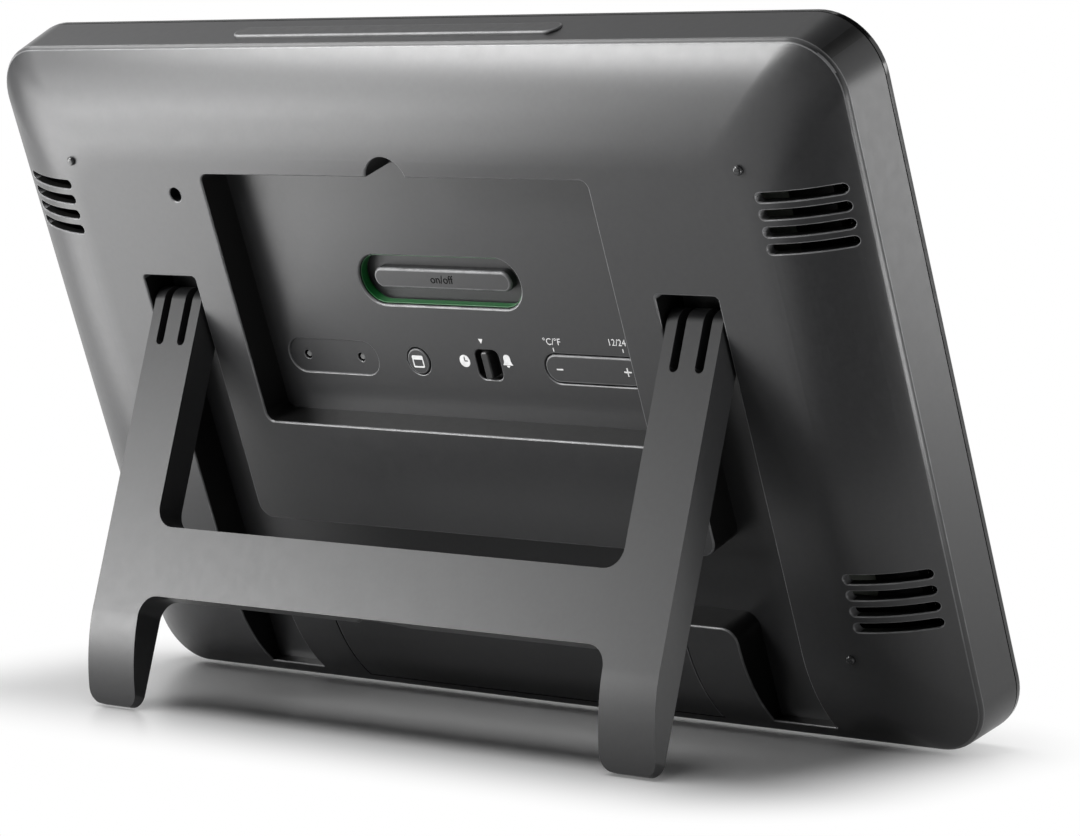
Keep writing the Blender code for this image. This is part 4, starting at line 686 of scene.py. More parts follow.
def makeCover(finishes):
    cover = addPiece("caseBack", caseForm(0.0))
    opening = channelPoints(spacing=channel["spacing"])
    combine(cover, "channel", pocket(opening, channel["depth"], dropAt, channel["lip"]))
    combine(cover, "recess", pocket(recessPoints(), recess["depth"], 0.0, recess["lip"], recess["above"]))
    for i, row in enumerate(bay["rows"]):
        addBay(cover, f"bay{i}", row, bay["cell"] + bay["gap"], bay["half"])
    combine(cover, "hollow", makeHollow())
    seat = addPiece("tool_seat", doorBlock(door["gap"]))
    combine(seat, "seatFloor", caseForm(door["skin"] + door["gap"]))
    combine(cover, "doorSeat", bake(seat))
    for side in (-1, 1):
        combine(cover, "tabSlot", tabSlot(side))
    for side in (-1, 1):
        for first in vents["first"]:
            for i in range(vents["count"]):
                middle = (side * vents["middle"], first - i * vents["pitch"])
                slot = pill(vents["width"], vents["height"], middle, segments=6, spacing=vents["spacing"])
                combine(cover, "vent", pocket(slot, vents["reach"], dropAt, vents["lip"]))
    hole = box(sounder["radius"], sounder["radius"], sounder["corner"], sounder["place"])
    combine(cover, "sounder", pocket(hole, sounder["depth"], 0.0, sounder["lip"]))
    # the holes of the keys, through the floor of the recess
    floor = recess["depth"]
    panelFloor = floor + keys["panelDepth"]
    through = keys["floorIn"] + overcut["past"]
    row = keys["row"]
    modePoints = box(*keys["modeHalf"], keys["modeCorner"], (keys["modeX"], row))
    holes = [
        ("alarmSlot", pill(*keys["alarm"]), through, floor, keys["alarmLip"]),
        ("roundHole", disc(keys["roundRadius"], (keys["roundX"], row)), through, floor, keys["roundLip"]),
        ("modeSlot", modePoints, through, floor, keys["lip"]),
        ("rockerHole", pill(*keys["rocker"]), through, floor, keys["lip"]),
        ("panel", pill(*keys["panel"]), panelFloor, floor, keys["lip"]),
    ]
    for x in keys["pins"]:
        pinHole = disc(keys["pinRadius"], (x, row), segments=4, fullness=nearly["small"])
        holes.append(("pinHole", pinHole, through, panelFloor, keys["pinLip"]))
    for name, points, bottom, mouth, lip in holes:
        combine(cover, name, pocket(points, bottom, mouth, lip))
    combine(cover, "snoozeSlot", snoozeSlot())
    bake(cover)
    markShadedWalls(cover.data)
    finishPiece(cover, "housing", ["rear_cover"], finishes["shell"])


bumper = {"x": 0.0906, "z": 0.0523, "radius": 0.0010, "foot": 0.0006, "top": -0.0006, "edge": 0.0005}


def makeBumpers(finishes):
    for sideName, x in (("Left", -bumper["x"]), ("Right", bumper["x"])):
        for level, z in (("Upper", bumper["z"]), ("Lower", -bumper["z"])):
            points = disc(bumper["radius"], (x, z), fullness=nearly["small"])
            bm = keyCap(points, bumper["foot"], bumper["top"], bumper["edge"])
            finishPiece(addPiece("bumper" + level + sideName, bm), "housing", [], finishes["peg"])


stand = {
    "legMiddle": 0.0707, "legHalf": 0.00695, "thickness": 0.0070, "inset": 0.0036, "heelGap": 0.0003,
    "fillet": 0.0045, "footCorner": 0.0030, "slotWidth": 0.0022, "slotSpread": 0.00315, "slotEnd": 0.0102,
    "top": 0.0036, "topRound": 0.00359, "tipGap": 0.0006, "barGap": 0.000575,
    "follow": 0.0398,           # radius of the toes, which follow the dome
    "toeSteps": 14, "topSteps": 12, "edge": 0.00040, "halfCut": 0.09, "halfDepth": 0.009, "frontTop": 0.0050,
    "scoopRadius": 0.0095, "scoopOut": 0.002, "scoopDown": 0.006, "scoopSteps": (40, 24),
    "stub": 0.0018, "stubLength": 0.00275, "stubOut": 0.000775,
}


def standSide():
    # side profile of the folded stand from its pivot, as y, z corners
    face = stand["inset"]
    back = face - stand["thickness"]
    top = stand["top"]
    opening = math.radians(pivot["opening"])
    floorReach = channel["depth"] + pivot["y"] - stand["heelGap"]
    heel = (floorReach + back * math.cos(opening)) / math.sin(opening)
    tip = channel["bottom"] + stand["tipGap"] - pivot["z"]
    start = case["domeWidth"] - case["halfHeight"] - pivot["z"]
    reach = stand["follow"]
    sweep = math.asin((start - tip) / reach)
    toeY = face - reach * (1 - math.cos(sweep))
    # the toe's curve leaves the face at start and meets the tip; its two tangents cross at the bend
    bend = reach * math.tan(sweep / 2)
    corners = [(toeY, tip, 0, 0), (face, start - bend, bend, stand["toeSteps"]),
               (face, top, stand["topRound"], stand["topSteps"]), (0.0, top, 0, 0), (back, heel, 0, 0),
               (back, tip, 0, 0)]
    bm = bmesh.new()
    verts = [bm.verts.new((0, y, z)) for y, z, turn, steps in corners]
    bm.faces.new(verts)
    for vert, (y, z, turn, steps) in zip(verts, corners):
        if steps:
            bevel(bm, [vert], turn * nearly["disc"], steps, "VERTICES")
    points = faceLoop(bm)
    return loft([[p + Vector((x, 0, 0)) for p in points] for x in (-stand["halfCut"], stand["halfCut"])])


def standFront():
    # the H seen from behind
    outer = stand["legMiddle"] + stand["legHalf"]
    inner = stand["legMiddle"] - stand["legHalf"]
    top = stand["frontTop"]
    tip = channel["bottom"] + stand["tipGap"] - pivot["z"]
    barTop = channel["barTop"] - stand["barGap"] - pivot["z"]
    barBottom = channel["barBottom"] + stand["barGap"] - pivot["z"]
    half = [(outer, top, 0), (inner, top, 0), (inner, barTop, stand["fillet"])]
    foot = [(inner, barBottom, stand["fillet"]), (inner, tip, stand["footCorner"]),
            (outer, tip, stand["footCorner"])]
    points = outline(half + mirrored(half) + mirrored(foot) + foot)
    return slab(points, -stand["halfDepth"], stand["halfDepth"])


def makeStand(finishes):
    piece = addPiece("standFrame", standSide())
    combine(piece, "front", standFront(), "INTERSECT")
    depth = stand["halfDepth"]
    half = stand["slotWidth"] / 2
    end, turn = -stand["slotEnd"], half * nearly["disc"]
    # the slots that leave three springy tongues on each leg
    for side in (-1, 1):
        for offset in (-stand["slotSpread"], stand["slotSpread"]):
            x = side * stand["legMiddle"] + offset
            corners = [(x + half, end, turn), (x + half, depth, 0), (x - half, depth, 0),
                       (x - half, end, turn)]
            combine(piece, "slot", slab(outline(corners, segments=6), -depth, depth))
    # the hollow under the crossbar that a finger lifts it by
    across, along = stand["scoopSteps"]
    scoop = bmesh.new()
    bmesh.ops.create_uvsphere(scoop, u_segments=across, v_segments=along, radius=stand["scoopRadius"])
    barBottom = channel["barBottom"] + stand["barGap"] - pivot["z"]
    place = (0, stand["inset"] - stand["thickness"] - stand["scoopOut"], barBottom - stand["scoopDown"])
    bmesh.ops.translate(scoop, verts=scoop.verts, vec=place)
    combine(piece, "scoop", scoop)
    bake(piece)
    roundEdges(piece, stand["edge"])
    for side in (-1, 1):
        for out in (-1, 1):
            face = side * (stand["legMiddle"] + out * stand["legHalf"])
            middle = (face + side * out * stand["stubOut"], 0, 0)
            combine(piece, "stub", rod(stand["stub"], stand["stubLength"], middle, segments=32), "UNION")
    bake(piece)
    finishPiece(piece, "stand_frame", ["stand"], finishes["stand"], standFrame)


def makeDoor(finishes):
    piece = addPiece("batteryDoor", doorBlock(0.0))
    combine(piece, "face", caseForm(0.0), "INTERSECT")
    combine(piece, "inside", caseForm(door["skin"]))
    bake(piece)
    roundEdges(piece, door["edge"], door["edgeAngle"], segments=2)
    combine(piece, "rib", slab(box(*door["rib"], middle=(0, door["ribZ"])), *door["ribDepths"]), "UNION")
    low = door["bottom"] - door["tabReach"]
    high = door["bottom"] + door["tabRoot"]
    for side in (-1, 1):
        points = box(door["tabWidth"] / 2, (high - low) / 2, middle=(side * door["tab"], (high + low) / 2))
        tab = addPiece("tool_tab", slab(points, overcut["past"], overcut["below"]))
        combine(tab, "outer", caseForm(door["tabRim"] + door["gap"]), "INTERSECT")
        combine(tab, "inner", caseForm(door["skin"] + door["tabGap"]))
        combine(piece, "tab", bake(tab), "UNION")
    bake(piece)
    finishPiece(piece, "door", ["battery_door"], finishes["shell"])


bezel = {
    "half": (0.1150, 0.0770), "corner": 0.0130, "joint": 0.0193, "front": 0.0208, "edge": 0.0006,
    "lens": (0.1055, 0.0675, 0.0050), "lensDepth": 0.0195, "lensPlay": 0.0003,
    "window": (0.1010, 0.0630, 0.0025), "windowDepths": (0.016, 0.022), "lipDepths": (0.0178, 0.0196),
    "lipInset": 0.0025,
}


def makeBezel(finishes):
    halfX, halfZ = bezel["half"]
    base = box(halfX, halfZ, bezel["corner"], segments=case["cornerSteps"])
    piece = addPiece("bezelRim", keyCap(base, bezel["joint"], bezel["front"], bezel["edge"], steps=6))
    inset = bezel["lipInset"]
    lip = box(halfX - inset, halfZ - inset, bezel["corner"] - inset, segments=10)
    combine(piece, "lip", slab(lip, *bezel["lipDepths"]), "UNION")
    halfX, halfZ, corner = bezel["lens"]
    play = bezel["lensPlay"]
    seat = box(halfX + play, halfZ + play, corner)
    combine(piece, "rebate", slab(seat, bezel["lensDepth"] - play, bezel["front"] + overcut["past"]))
    combine(piece, "window", slab(box(*bezel["window"]), *bezel["windowDepths"]))
    bake(piece)
    finishPiece(piece, "housing", ["front_bezel"], finishes["black"])


liner = {"play": 0.0001, "wall": 0.0002, "flange": 0.0009, "top": 0.0083, "rear": 0.0102, "seat": 0.0097,
         "slope": 0.00002, "edge": 0.00008}
alarm = {"proud": 0.0002, "foot": 0.0111, "face": 0.0107, "edge": 0.0002, "bar": (0.0375, 0.0046),
         "barFoot": 0.0110, "barTop": 0.0086, "barEdge": 0.0006, "letters": 0.0026}
roundKey = {"play": 0.0003, "top": 0.0074, "edge": 0.0003, "lip": 0.0009}
knob = {"half": (0.0010, 0.0031), "corner": 0.0007, "foot": 0.0004, "top": 0.0069, "edge": 0.0004,
        "plate": (0.00595, 0.0042, 0.0006), "plateThick": 0.0007}
rocker = {"play": 0.0006, "top": 0.0075, "edge": 0.0004, "lug": (0.0030, 0.0009), "lugOut": 0.0003,
          "post": 0.0012, "postX": 0.0090, "bridge": 0.00295, "step": 0.00005, "back": 0.0003}
behind = {"gap": 0.0003, "flange": 0.0006}    # the keys' flanges behind the floor of the recess


def linerForm():
    # the liner of the alarm button's hole: a thin wall with a rounded top and a flange behind the cover
    base = pill(*keys["alarm"], segments=14)
    outer, inner = -liner["play"], -liner["play"] - liner["wall"]
    turns = (0, 30, 60, 90)
    rings = [atDepth(grown(base, inner), liner["rear"])]
    for wall, sign, angles in ((inner, 1, turns), (outer, -1, turns[::-1])):
        for angle in angles:
            inset, sink = quarter(liner["edge"], math.radians(angle))
            rings.append(atDepth(grown(base, wall + sign * inset), liner["top"] + sink))
    # the seat and the rear slope a little, because bridging twists between two rings in one plane
    rings.append(atDepth(grown(base, outer), liner["seat"] - liner["slope"]))
    rings.append(atDepth(grown(base, liner["flange"]), liner["seat"]))
    rings.append(atDepth(grown(base, liner["flange"]), liner["rear"] - liner["slope"]))
    return collar(rings)


def makeAlarmKey(finishes):
    finishPiece(addPiece("alarmRing", linerForm()), "housing", ["alarm_liner"], finishes["green"])
    width, height, middle = keys["alarm"]
    plate = pill(width + alarm["proud"], height + alarm["proud"], middle, segments=14)
    button = addPiece("alarmKey", keyCap(plate, alarm["foot"], alarm["face"], alarm["edge"]))
    bar = keyCap(pill(*alarm["bar"], middle), alarm["barFoot"], alarm["barTop"], alarm["barEdge"])
    combine(button, "bar", bar, "UNION")
    finishPiece(bake(button), "alarm_key", ["alarm_button"], finishes["key"])


def makeKeys(finishes):
    makeAlarmKey(finishes)
    rear = keys["floorIn"] + behind["gap"]
    front = rear + behind["flange"]

    radius = keys["roundRadius"] - roundKey["play"]
    place = (keys["roundX"], keys["row"])
    points = disc(radius, place, segments=10)
    cap = addPiece("setKey", keyCap(points, front, roundKey["top"], roundKey["edge"]))
    combine(cap, "lip", slab(disc(radius + roundKey["lip"], place, segments=10), rear, front), "UNION")
    finishPiece(bake(cap), "set_key", ["round_key"], finishes["key"])

    place = (keys["modeX"], keys["row"])
    points = box(*knob["half"], knob["corner"], place)
    slider = addPiece("modeKnob", keyCap(points, rear + knob["foot"], knob["top"], knob["edge"]))
    combine(slider, "plate", slab(box(*knob["plate"], place), rear, rear + knob["plateThick"]), "UNION")
    finishPiece(bake(slider), "mode_switch", ["mode_slider"], finishes["slider"])

    width, height, middle = keys["rocker"]
    x, z = middle
    points = pill(width - rocker["play"], height - rocker["play"], middle, segments=14)
    cap = addPiece("rockerCap", keyCap(points, rear, rocker["top"], rocker["edge"]))
    step, back = rocker["step"], rear - rocker["back"]
    for side in (-1, 1):
        lug = box(*rocker["lug"], middle=(x, z + side * (height / 2 + rocker["lugOut"])))
        combine(cap, "lug", slab(lug, rear + step, front), "UNION")
        post = disc(rocker["post"], (x + side * rocker["postX"], z))
        combine(cap, "post", slab(post, back, front - step), "UNION")
    bridge = box(rocker["bridge"], height / 2, middle=middle)
    combine(cap, "bridge", slab(bridge, back, front - step), "UNION")
    finishPiece(bake(cap), "rocker_key", ["adjust_rocker"], finishes["key"])


def makeSnoozeBar(finishes):
    width, height, middle = snooze["width"], snooze["height"], (0, snooze["y"])
    points = pill(width - snooze["play"], height - snooze["play"], middle, segments=12)
    bar = addPiece("snoozeTouch", keyCap(points, snooze["foot"], -snooze["proud"], snooze["edge"]))
    top = case["wall"] + snooze["flangeGap"] + flareAt(-snooze["y"])
    wide = pill(width + snooze["flange"], height + snooze["flange"], middle, segments=8)
    combine(bar, "flange", slab(wide, top, top + snooze["flangeThick"]), "UNION")
    bake(bar)
    bar.data.transform(upright())
    bar.data.flip_normals()
    finishPiece(bar, "snooze_key", ["snooze_bar"], finishes["key"])


ink = {"thickness": 0.00004, "resolution": 4}
symbols = {
    "tick": (0.00012, 0.0004), "letters": 0.0021,
    "clock": (-0.0017, 0.00535), "clockRadius": 0.0014, "clockCorner": 0.00139,
    "hands": ((0.00014, 0.0005, (-0.0017, 0.00585)), (0.00045, 0.00014, (-0.00205, 0.00535))),
    "bell": (-0.0134, 0.00585), "pointer": (-0.00745, 0.0101),
    "bellHalf": [(0.0014, -0.0010, 0.0002), (0.0009, -0.0003, 0.0003), (0.0009, 0.0014, 0.0008)],
    "clapper": [(0.0004, -0.0011, 0), (-0.0004, -0.0011, 0), (-0.0004, -0.0015, 0.0003),
                (0.0004, -0.0015, 0.0003)],
    "pointerCorners": [(0.0006, 0.0005, 0), (-0.0006, 0.0005, 0), (0, -0.0006, 0)],
    "minus": (-0.0272, 0.0046), "minusHalf": (0.00085, 0.00016),
    "plus": (-0.0450, 0.0048), "plusHalf": (0.00095, 0.00016), "plusUpright": 0.00005,
    "degree": (-0.0267, 0.0107), "degreeTick": (-0.0267, 0.0090),
    "hours": (-0.0438, 0.0112), "hoursTick": (-0.0450, 0.0095),
    "leaf": (0.0015, 0.0014, 0.0003), "leafOpen": (0.0012, 0.00075, 0.0001), "leafDown": 0.0003,
    "leafDepths": (0.0060, 0.0090),
}


def inkFace(points, depth, thickness=ink["thickness"]):
    return slab(points, depth - thickness, depth)


def lettering(text, height, middle, depth):
    # letters as a mesh, read from behind the clock, standing off the surface at a depth
    curve = bpy.data.curves.new("letters", "FONT")
    curve.body = text
    curve.size = height
    curve.align_x = "CENTER"
    curve.align_y = "CENTER"
    curve.extrude = ink["thickness"] / 2
    curve.resolution_u = ink["resolution"]
    piece = bpy.data.objects.new("letters", curve)
    bpy.context.scene.collection.objects.link(piece)
    bpy.context.view_layer.update()
    mesh = bpy.data.meshes.new_from_object(piece.evaluated_get(bpy.context.evaluated_depsgraph_get()))
    bpy.data.objects.remove(piece)
    bm = bmesh.new()
    bm.from_mesh(mesh)
    bmesh.ops.remove_doubles(bm, verts=bm.verts, dist=mergeWithin["letters"])
    place = (Matrix.Translation((middle[0], -depth + ink["thickness"] / 2, middle[1]))
             @ Matrix.Rotation(math.pi, 4, "Z") @ Matrix.Rotation(math.pi / 2, 4, "X"))
    bmesh.ops.transform(bm, matrix=place, verts=bm.verts)
    bmesh.ops.recalc_face_normals(bm, faces=bm.faces)
    return bm


def printed(name, bm, body, finishes, finish="ink"):
    finishPiece(addPiece(name, bm), body, [], finishes[finish])


def clockFace(floor):
    # a disc with its two hands left open
    radius = symbols["clockRadius"]
    rim = box(radius, radius, symbols["clockCorner"], symbols["clock"], segments=8)
    face = addPiece("clockSymbol", inkFace(rim, floor))
    for halfX, halfZ, middle in symbols["hands"]:
        hand = slab(box(halfX, halfZ, middle=middle), floor - overcut["past"], floor + overcut["past"])
        combine(face, "hand", hand)
    return bake(face)


def placed(corners, middle):
    return [(middle[0] + x, middle[1] + z, reach) for x, z, reach in corners]


def makeSymbols(finishes):
    floor = recess["depth"]
    finishPiece(clockFace(floor), "housing", [], finishes["ink"])

    half = symbols["bellHalf"]
    bell = outline(placed(half + mirrored(half), symbols["bell"]), segments=5)
    clapper = outline(placed(symbols["clapper"], symbols["bell"]), segments=5)
    printed("bellSymbol", merge([inkFace(bell, floor), inkFace(clapper, floor)]), "housing", finishes)

    pointer = outline(placed(symbols["pointerCorners"], symbols["pointer"]))
    printed("pointerSymbol", inkFace(pointer, floor), "housing", finishes)

    top = rocker["top"]
    minus = inkFace(box(*symbols["minusHalf"], middle=symbols["minus"]), top)
    printed("minusSymbol", minus, "rocker_key", finishes)
    across, along = symbols["plusHalf"]
    plus = merge([inkFace(box(across, along, middle=symbols["plus"]), top),
                  inkFace(box(along, across, middle=symbols["plus"]), top, symbols["plusUpright"])])
    printed("plusSymbol", plus, "rocker_key", finishes)

    for name, text, place, tick in (("degreeSymbol", "°C/°F", symbols["degree"], symbols["degreeTick"]),
                                    ("hourSymbol", "12/24", symbols["hours"], symbols["hoursTick"])):
        words = lettering(text, symbols["letters"], place, floor)
        stroke = inkFace(box(*symbols["tick"], middle=tick), floor)
        printed(name, merge([words, stroke]), "housing", finishes)

    x, z = keys["roundX"], keys["row"]
    leaf = addPiece("setSymbol", inkFace(box(*symbols["leaf"], (x, z)), roundKey["top"]))
    opening = box(*symbols["leafOpen"], (x, z - symbols["leafDown"]))
    combine(leaf, "open", slab(opening, *symbols["leafDepths"]))
    finishPiece(bake(leaf), "set_key", [], finishes["ink"])

    letters = lettering("on/off", alarm["letters"], keys["alarm"][2], alarm["barTop"])
    printed("alarmLetters", letters, "alarm_key", finishes, "letter")


display = {
    "big": (0.0220, 0.0520, 0.0270, 0.0056),        # middle, height, width and stroke of a row of digits
    "small": (-0.0330, 0.0190, 0.0100, 0.0022),
    "rows": (("10", -0.0830, "big"), (":", 0.0035, "big"), ("08", 0.0090, "big"), ("21", -0.0840, "small"),
             ("45", -0.0380, "small"), ("06", 0.0200, "small"), ("30", 0.0560, "small")),
    "advance": 1.5, "colonBack": 0.25, "colonAdvance": 0.42, "gap": 0.35, "depths": (0.01738, 0.01742),
    "line": (0.0900, 0.0003), "lineZ": -0.0120,
    "border": (0.1050, 0.0670, 0.0045), "borderDepths": (0.01944, 0.01948),
    "borderOpen": (0.0960, 0.0580, 0.0020, (0, 0.0005)), "openDepths": (0.0190, 0.0200),
}
segmentMap = {"0": "abcdef", "1": "bc", "2": "abged", "3": "abgcd", "4": "fgbc", "5": "afgcd",
              "6": "afgedc", "7": "abc", "8": "abcdefg", "9": "abcdfg"}


def segmentBar(length, width, middle, isUpright):
    # a bar with pointed ends, as a display's electrodes are cut
    half, side = length / 2, width / 2
    corners = [(-half, 0), (-half + side, -side), (half - side, -side), (half, 0), (half - side, side),
               (-half + side, side)]
    x, z = middle
    if isUpright:
        return [(x + b, z + a, 0) for a, b in corners]
    return [(x + a, z + b, 0) for a, b in corners]


def digitBars(text, left, middle, height, width, thickness):
    # seen from the front, x runs to the right
    bars = []
    half, step = width / 2, height / 2
    places = {
        "a": (0, step, False), "g": (0, 0, False), "d": (0, -step, False),
        "f": (-half, step / 2, True), "b": (half, step / 2, True),
        "e": (-half, -step / 2, True), "c": (half, -step / 2, True),
    }
    x = left
    for mark in text:
        if mark == ":":
            for z in (-height / 5, height / 5):
                dot = (x - width * display["colonBack"], middle + z)
                bars.append(box(thickness / 2, thickness / 2, middle=dot))
            x += width * display["colonAdvance"]
            continue
        for letter in segmentMap[mark]:
            dx, dz, up = places[letter]
            length = (step if up else width) - thickness * display["gap"]
            bars.append(outline(segmentBar(length, thickness, (x + half + dx, middle + dz), up)))
        x += width * display["advance"]
    return bars


def makeDisplay(finishes):
    bars = []
    for text, left, size in display["rows"]:
        bars += digitBars(text, left, *display[size])
    bars.append(box(*display["line"], middle=(0, display["lineZ"])))
    digits = merge([slab(points, *display["depths"]) for points in bars])
    printed("displayDigits", digits, "housing", finishes, "segment")
    # the printed black border behind the lens
    border = addPiece("lensBorder", slab(box(*display["border"]), *display["borderDepths"]))
    combine(border, "open", slab(box(*display["borderOpen"]), *display["openDepths"]))
    finishPiece(bake(border), "housing", [], finishes["black"])


# the finish of each CAD node that stays, by how its name starts
dressed = {
    "lens": ("display_lens",), "glass": ("display_glass",), "slider": ("display_tray", "snooze_switch"),
    "rubber": ("connector_strip", "key_mat"), "board": ("main_board", "snooze_board"),
    "potting": ("controller_chip", "temperature_sensor", "buzzer"), "ferrite": ("receiver_aerial",),
    "metal": ("board_screw", "alarm_contacts", "cell_spring", "contact_", "mode_wiper"),
    "pin": ("reset_pin", "sync_pin"), "jacket": ("cell_upper", "cell_lower"),
}


def dressNodes(finishes):
    for look, starts in dressed.items():
        for name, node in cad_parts.items():
            if name.startswith(starts):
                node.data.materials.clear()
                node.data.materials.append(finishes[look])


studio = {
    "key": {"place": (0.17, 0.27, 0.28), "aim": (-0.02, 0.03, 0.14), "size": (0.22, 0.12), "watts": 1.7,
            "spares": ["standFrame"]},
    "fill": {"place": (0.42, 0.42, 0.15), "aim": (0.0, 0.05, 0.05), "size": (0.20, 0.20), "watts": 0.95},
    "low": {"place": (0.31, 0.22, 0.06), "aim": (0.08, 0.02, 0.12), "size": (0.26, 0.12), "watts": 0.62},
    "table": {"place": (0.25, 0.15, 0.012), "aim": (0.25, 0.15, 1.0), "size": (0.22, 0.24), "watts": 0.60},
    "top": {"place": (0.10, 0.06, 0.80), "aim": (0.0, 0.04, 0.0), "size": (0.70, 0.70), "watts": 5.0,
            "floorOnly": True},
    "crown": {"place": (0.40, 0.10, 0.60), "aim": (0.0, 0.0, 0.10), "size": (0.30, 0.30), "watts": 1.6},
    "rim": {"place": (-0.32, 0.045, 0.016), "aim": (-0.32, 0.045, 1.0), "size": (0.26, 0.07), "watts": 0.7},
    "side": {"place": (-0.58, -0.44, 0.10), "aim": (-0.1, 0.0, 0.07), "size": (0.22, 0.34), "watts": 1.4},
}
flags = {
    "right": {"place": (-0.32, 0.56, 0.60), "aim": (0.0, 0.0, 0.60), "size": (1.00, 1.15), "shade": 0.0},
    "low": {"place": (-0.28, 0.275, 0.012), "aim": (-0.28, 0.275, 1.0), "size": (0.45, 0.45), "shade": 0.0},
    "above": {"place": (0.52, -0.38, 0.68), "aim": (0.0, 0.0, 0.147), "size": (0.60, 0.50), "shade": 0.42},
    "corner": {"place": (-0.22, -0.40, 0.95), "aim": (-0.1, 0.0, 0.147), "size": (0.80, 0.60), "shade": 0.0},
    "left": {"place": (0.80, 0.13, 0.12), "aim": (0.0, 0.0, 0.12), "size": (0.34, 0.45), "shade": 0.0},
}
air = {"ambient": 0.05, "backdrop": 1.0}
table = {
    "colour": (0.93, 0.93, 0.93, 1), "gloss": 0.30, "half": 4.0, "level": -0.0002,
    # how far from the clock's footprint the white starts and is full
    "liftStart": 0.0, "liftEnd": 0.050, "footprint": (0.095, 0.022), "middle": (0.008, 0.002),
}
plainWhite = (1, 1, 1, 1)


def facing(look):
    # the turn that points a lamp or a cloth from its place to its aim
    return (Vector(look["aim"]) - Vector(look["place"])).to_track_quat("-Z", "Y")


def addLamp(name, look, floor):
    data = bpy.data.lights.new(name, "AREA")
    data.shape = "RECTANGLE"
    data.size, data.size_y = look["size"]
    data.energy = look["watts"]
    lamp = bpy.data.objects.new(name, data)
    lamp.location = look["place"]
    lamp.rotation_euler = facing(look).to_euler()
    lamp.visible_camera = False
    bpy.context.scene.collection.objects.link(lamp)
    # a lamp lights the floor alone or all but the floor, so that one lamp above gives the one shadow
    state = "INCLUDE" if look.get("floorOnly") else "EXCLUDE"
    linked = bpy.data.collections.new(name + "Lights")
    for i, piece in enumerate([floor] + [bpy.data.objects[spare] for spare in look.get("spares", [])]):
        linked.objects.link(piece)
        linked.collection_objects[i].light_linking.link_state = state
    lamp.light_linking.receiver_collection = linked


def addFlag(name, look):
    # a black or grey cloth that only reflections see, as photographers stand beside glossy dark goods
    cloth, tree, shader = newMaterial(name)
    shader.inputs["Base Color"].default_value = (0, 0, 0, 1)
    shader.inputs["Specular IOR Level"].default_value = 0.0
    shader.inputs["Emission Color"].default_value = plainWhite
    shader.inputs["Emission Strength"].default_value = look["shade"]
    bm = bmesh.new()
    bmesh.ops.create_grid(bm, x_segments=1, y_segments=1, size=0.5)
    bmesh.ops.scale(bm, verts=bm.verts, vec=(*look["size"], 1))
    place = Matrix.Translation(look["place"]) @ facing(look).to_matrix().to_4x4()
    flag = addPiece(name, bm, cloth, place)
    for ray in ("camera", "diffuse", "transmission", "shadow", "volume_scatter"):
        setattr(flag, f"visible_{ray}", False)


def seenRay(tree):
    # 1 for what the camera, a reflection or a clear lens sees, 0 for light that falls on a surface
    path = addNode(tree, "LightPath").outputs
    value = path["Is Camera Ray"]
    for kind in ("Is Glossy Ray", "Is Transmission Ray"):
        value = addNode(tree, "Math", links={0: value, 1: path[kind]}, operation="MAXIMUM").outputs[0]
    return value


def makeStudio(floor):
    scene = bpy.context.scene
    scene.view_settings.view_transform = "Standard"
    world = bpy.data.worlds.new("studio")
    scene.world = world
    world.use_nodes = True
    tree = world.node_tree
    tree.nodes.clear()
    ambient = addNode(tree, "Background", {"Color": plainWhite, "Strength": air["ambient"]}).outputs[0]
    backdrop = addNode(tree, "Background", {"Color": plainWhite, "Strength": air["backdrop"]}).outputs[0]
    mix = addNode(tree, "MixShader", links={"Fac": seenRay(tree), 1: ambient, 2: backdrop}).outputs[0]
    addNode(tree, "OutputWorld", links={"Surface": mix})
    for name, look in studio.items():
        addLamp(name, look, floor)
    for name, look in flags.items():
        addFlag(name + "Flag", look)


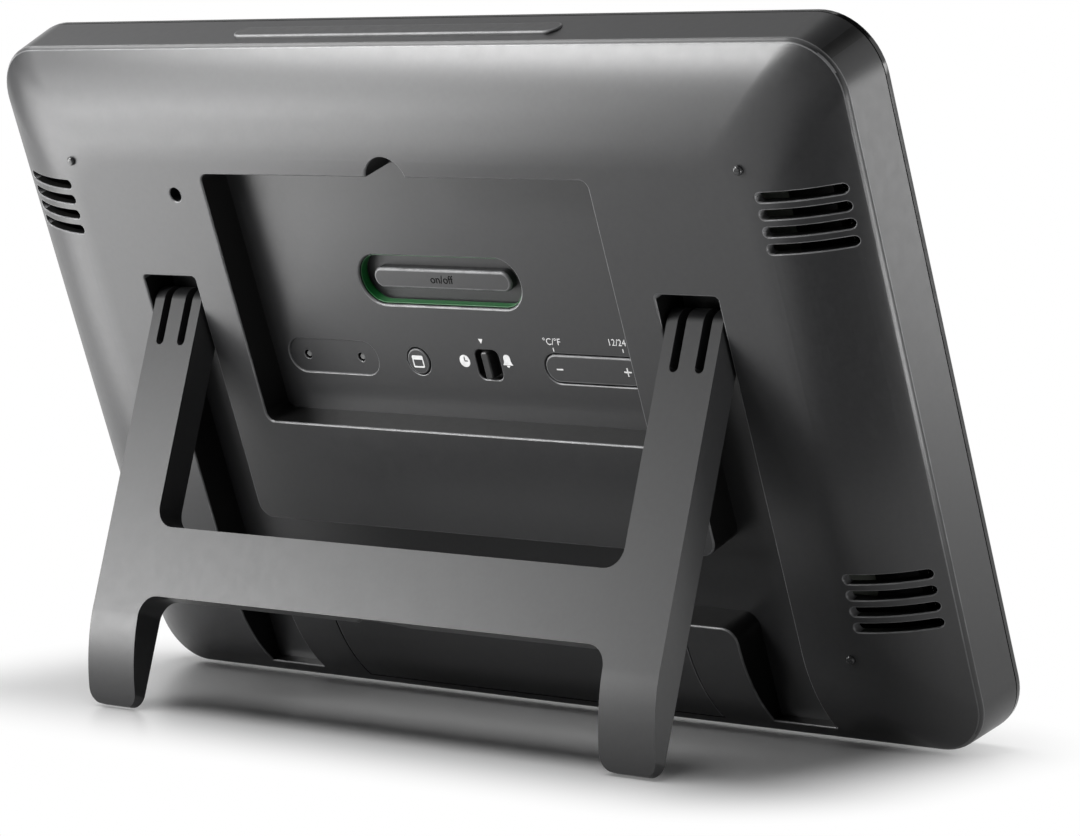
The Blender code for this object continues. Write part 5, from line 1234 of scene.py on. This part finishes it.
def makeFloor():
    # white table: its colour is lifted to plain white away from the clock, where no shadow falls
    material, tree, shader = newMaterial("paleFloor")
    shader.inputs["Base Color"].default_value = table["colour"]
    shader.inputs["Roughness"].default_value = table["gloss"]
    x, y = table["middle"]
    place = addNode(tree, "TexCoord").outputs["Object"]
    value = addNode(tree, "Mapping", {"Location": (-x, -y, 0)}, {"Vector": place}).outputs["Vector"]
    for operation, other in (("ABSOLUTE", (0, 0, 0)), ("SUBTRACT", (*table["footprint"], 0)),
                             ("MAXIMUM", (0, 0, 0)), ("LENGTH", (0, 0, 0))):
        step = addNode(tree, "VectorMath", {1: other}, {0: value}, operation=operation)
        value = step.outputs["Value" if operation == "LENGTH" else "Vector"]
    away = spread(tree, value, 0.0, 1.0, table["liftStart"], table["liftEnd"], "SMOOTHSTEP")
    lift = addNode(tree, "Math", links={0: away, 1: seenRay(tree)}, operation="MULTIPLY").outputs[0]
    white = addNode(tree, "Emission", {"Color": plainWhite}).outputs[0]
    mix = addNode(tree, "MixShader", links={"Fac": lift, 1: shader.outputs[0], 2: white}).outputs[0]
    tree.links.new(mix, tree.nodes["Material Output"].inputs["Surface"])
    bm = bmesh.new()
    bmesh.ops.create_grid(bm, x_segments=1, y_segments=1, size=table["half"])
    floor = addPiece("floor", bm, material, Matrix.Translation((0, 0, table["level"])))
    return floor


# the camera's place and its right, up and back, all in the frame of the case
view = {
    "place": (-0.5496, 0.5666, 0.2872), "lens": 134.51, "sensor": 36.0, "nearest": 0.05,
    "axes": ((-0.7703, -0.5943, -0.2313), (0.0502, -0.4181, 0.907), (-0.6357, 0.6871, 0.3519)),
}


def makeCamera():
    data = bpy.data.cameras.new("camera")
    data.sensor_fit = "HORIZONTAL"
    data.sensor_width = view["sensor"]
    data.lens = view["lens"]
    data.clip_start = view["nearest"]
    camera = bpy.data.objects.new("camera", data)
    turn = Matrix(view["axes"]).transposed().to_4x4()
    camera.matrix_world = caseFrame @ Matrix.Translation(view["place"]) @ turn
    bpy.context.scene.collection.objects.link(camera)
    bpy.context.scene.camera = camera


finishes = makeFinishes()
print("finishes ready")
makeCover(finishes)
makeBumpers(finishes)
makeStand(finishes)
makeDoor(finishes)
makeBezel(finishes)
makeKeys(finishes)
makeSnoozeBar(finishes)
makeSymbols(finishes)
makeDisplay(finishes)
dressNodes(finishes)
print("object ready")
makeStudio(makeFloor())
makeCamera()
print("studio ready")
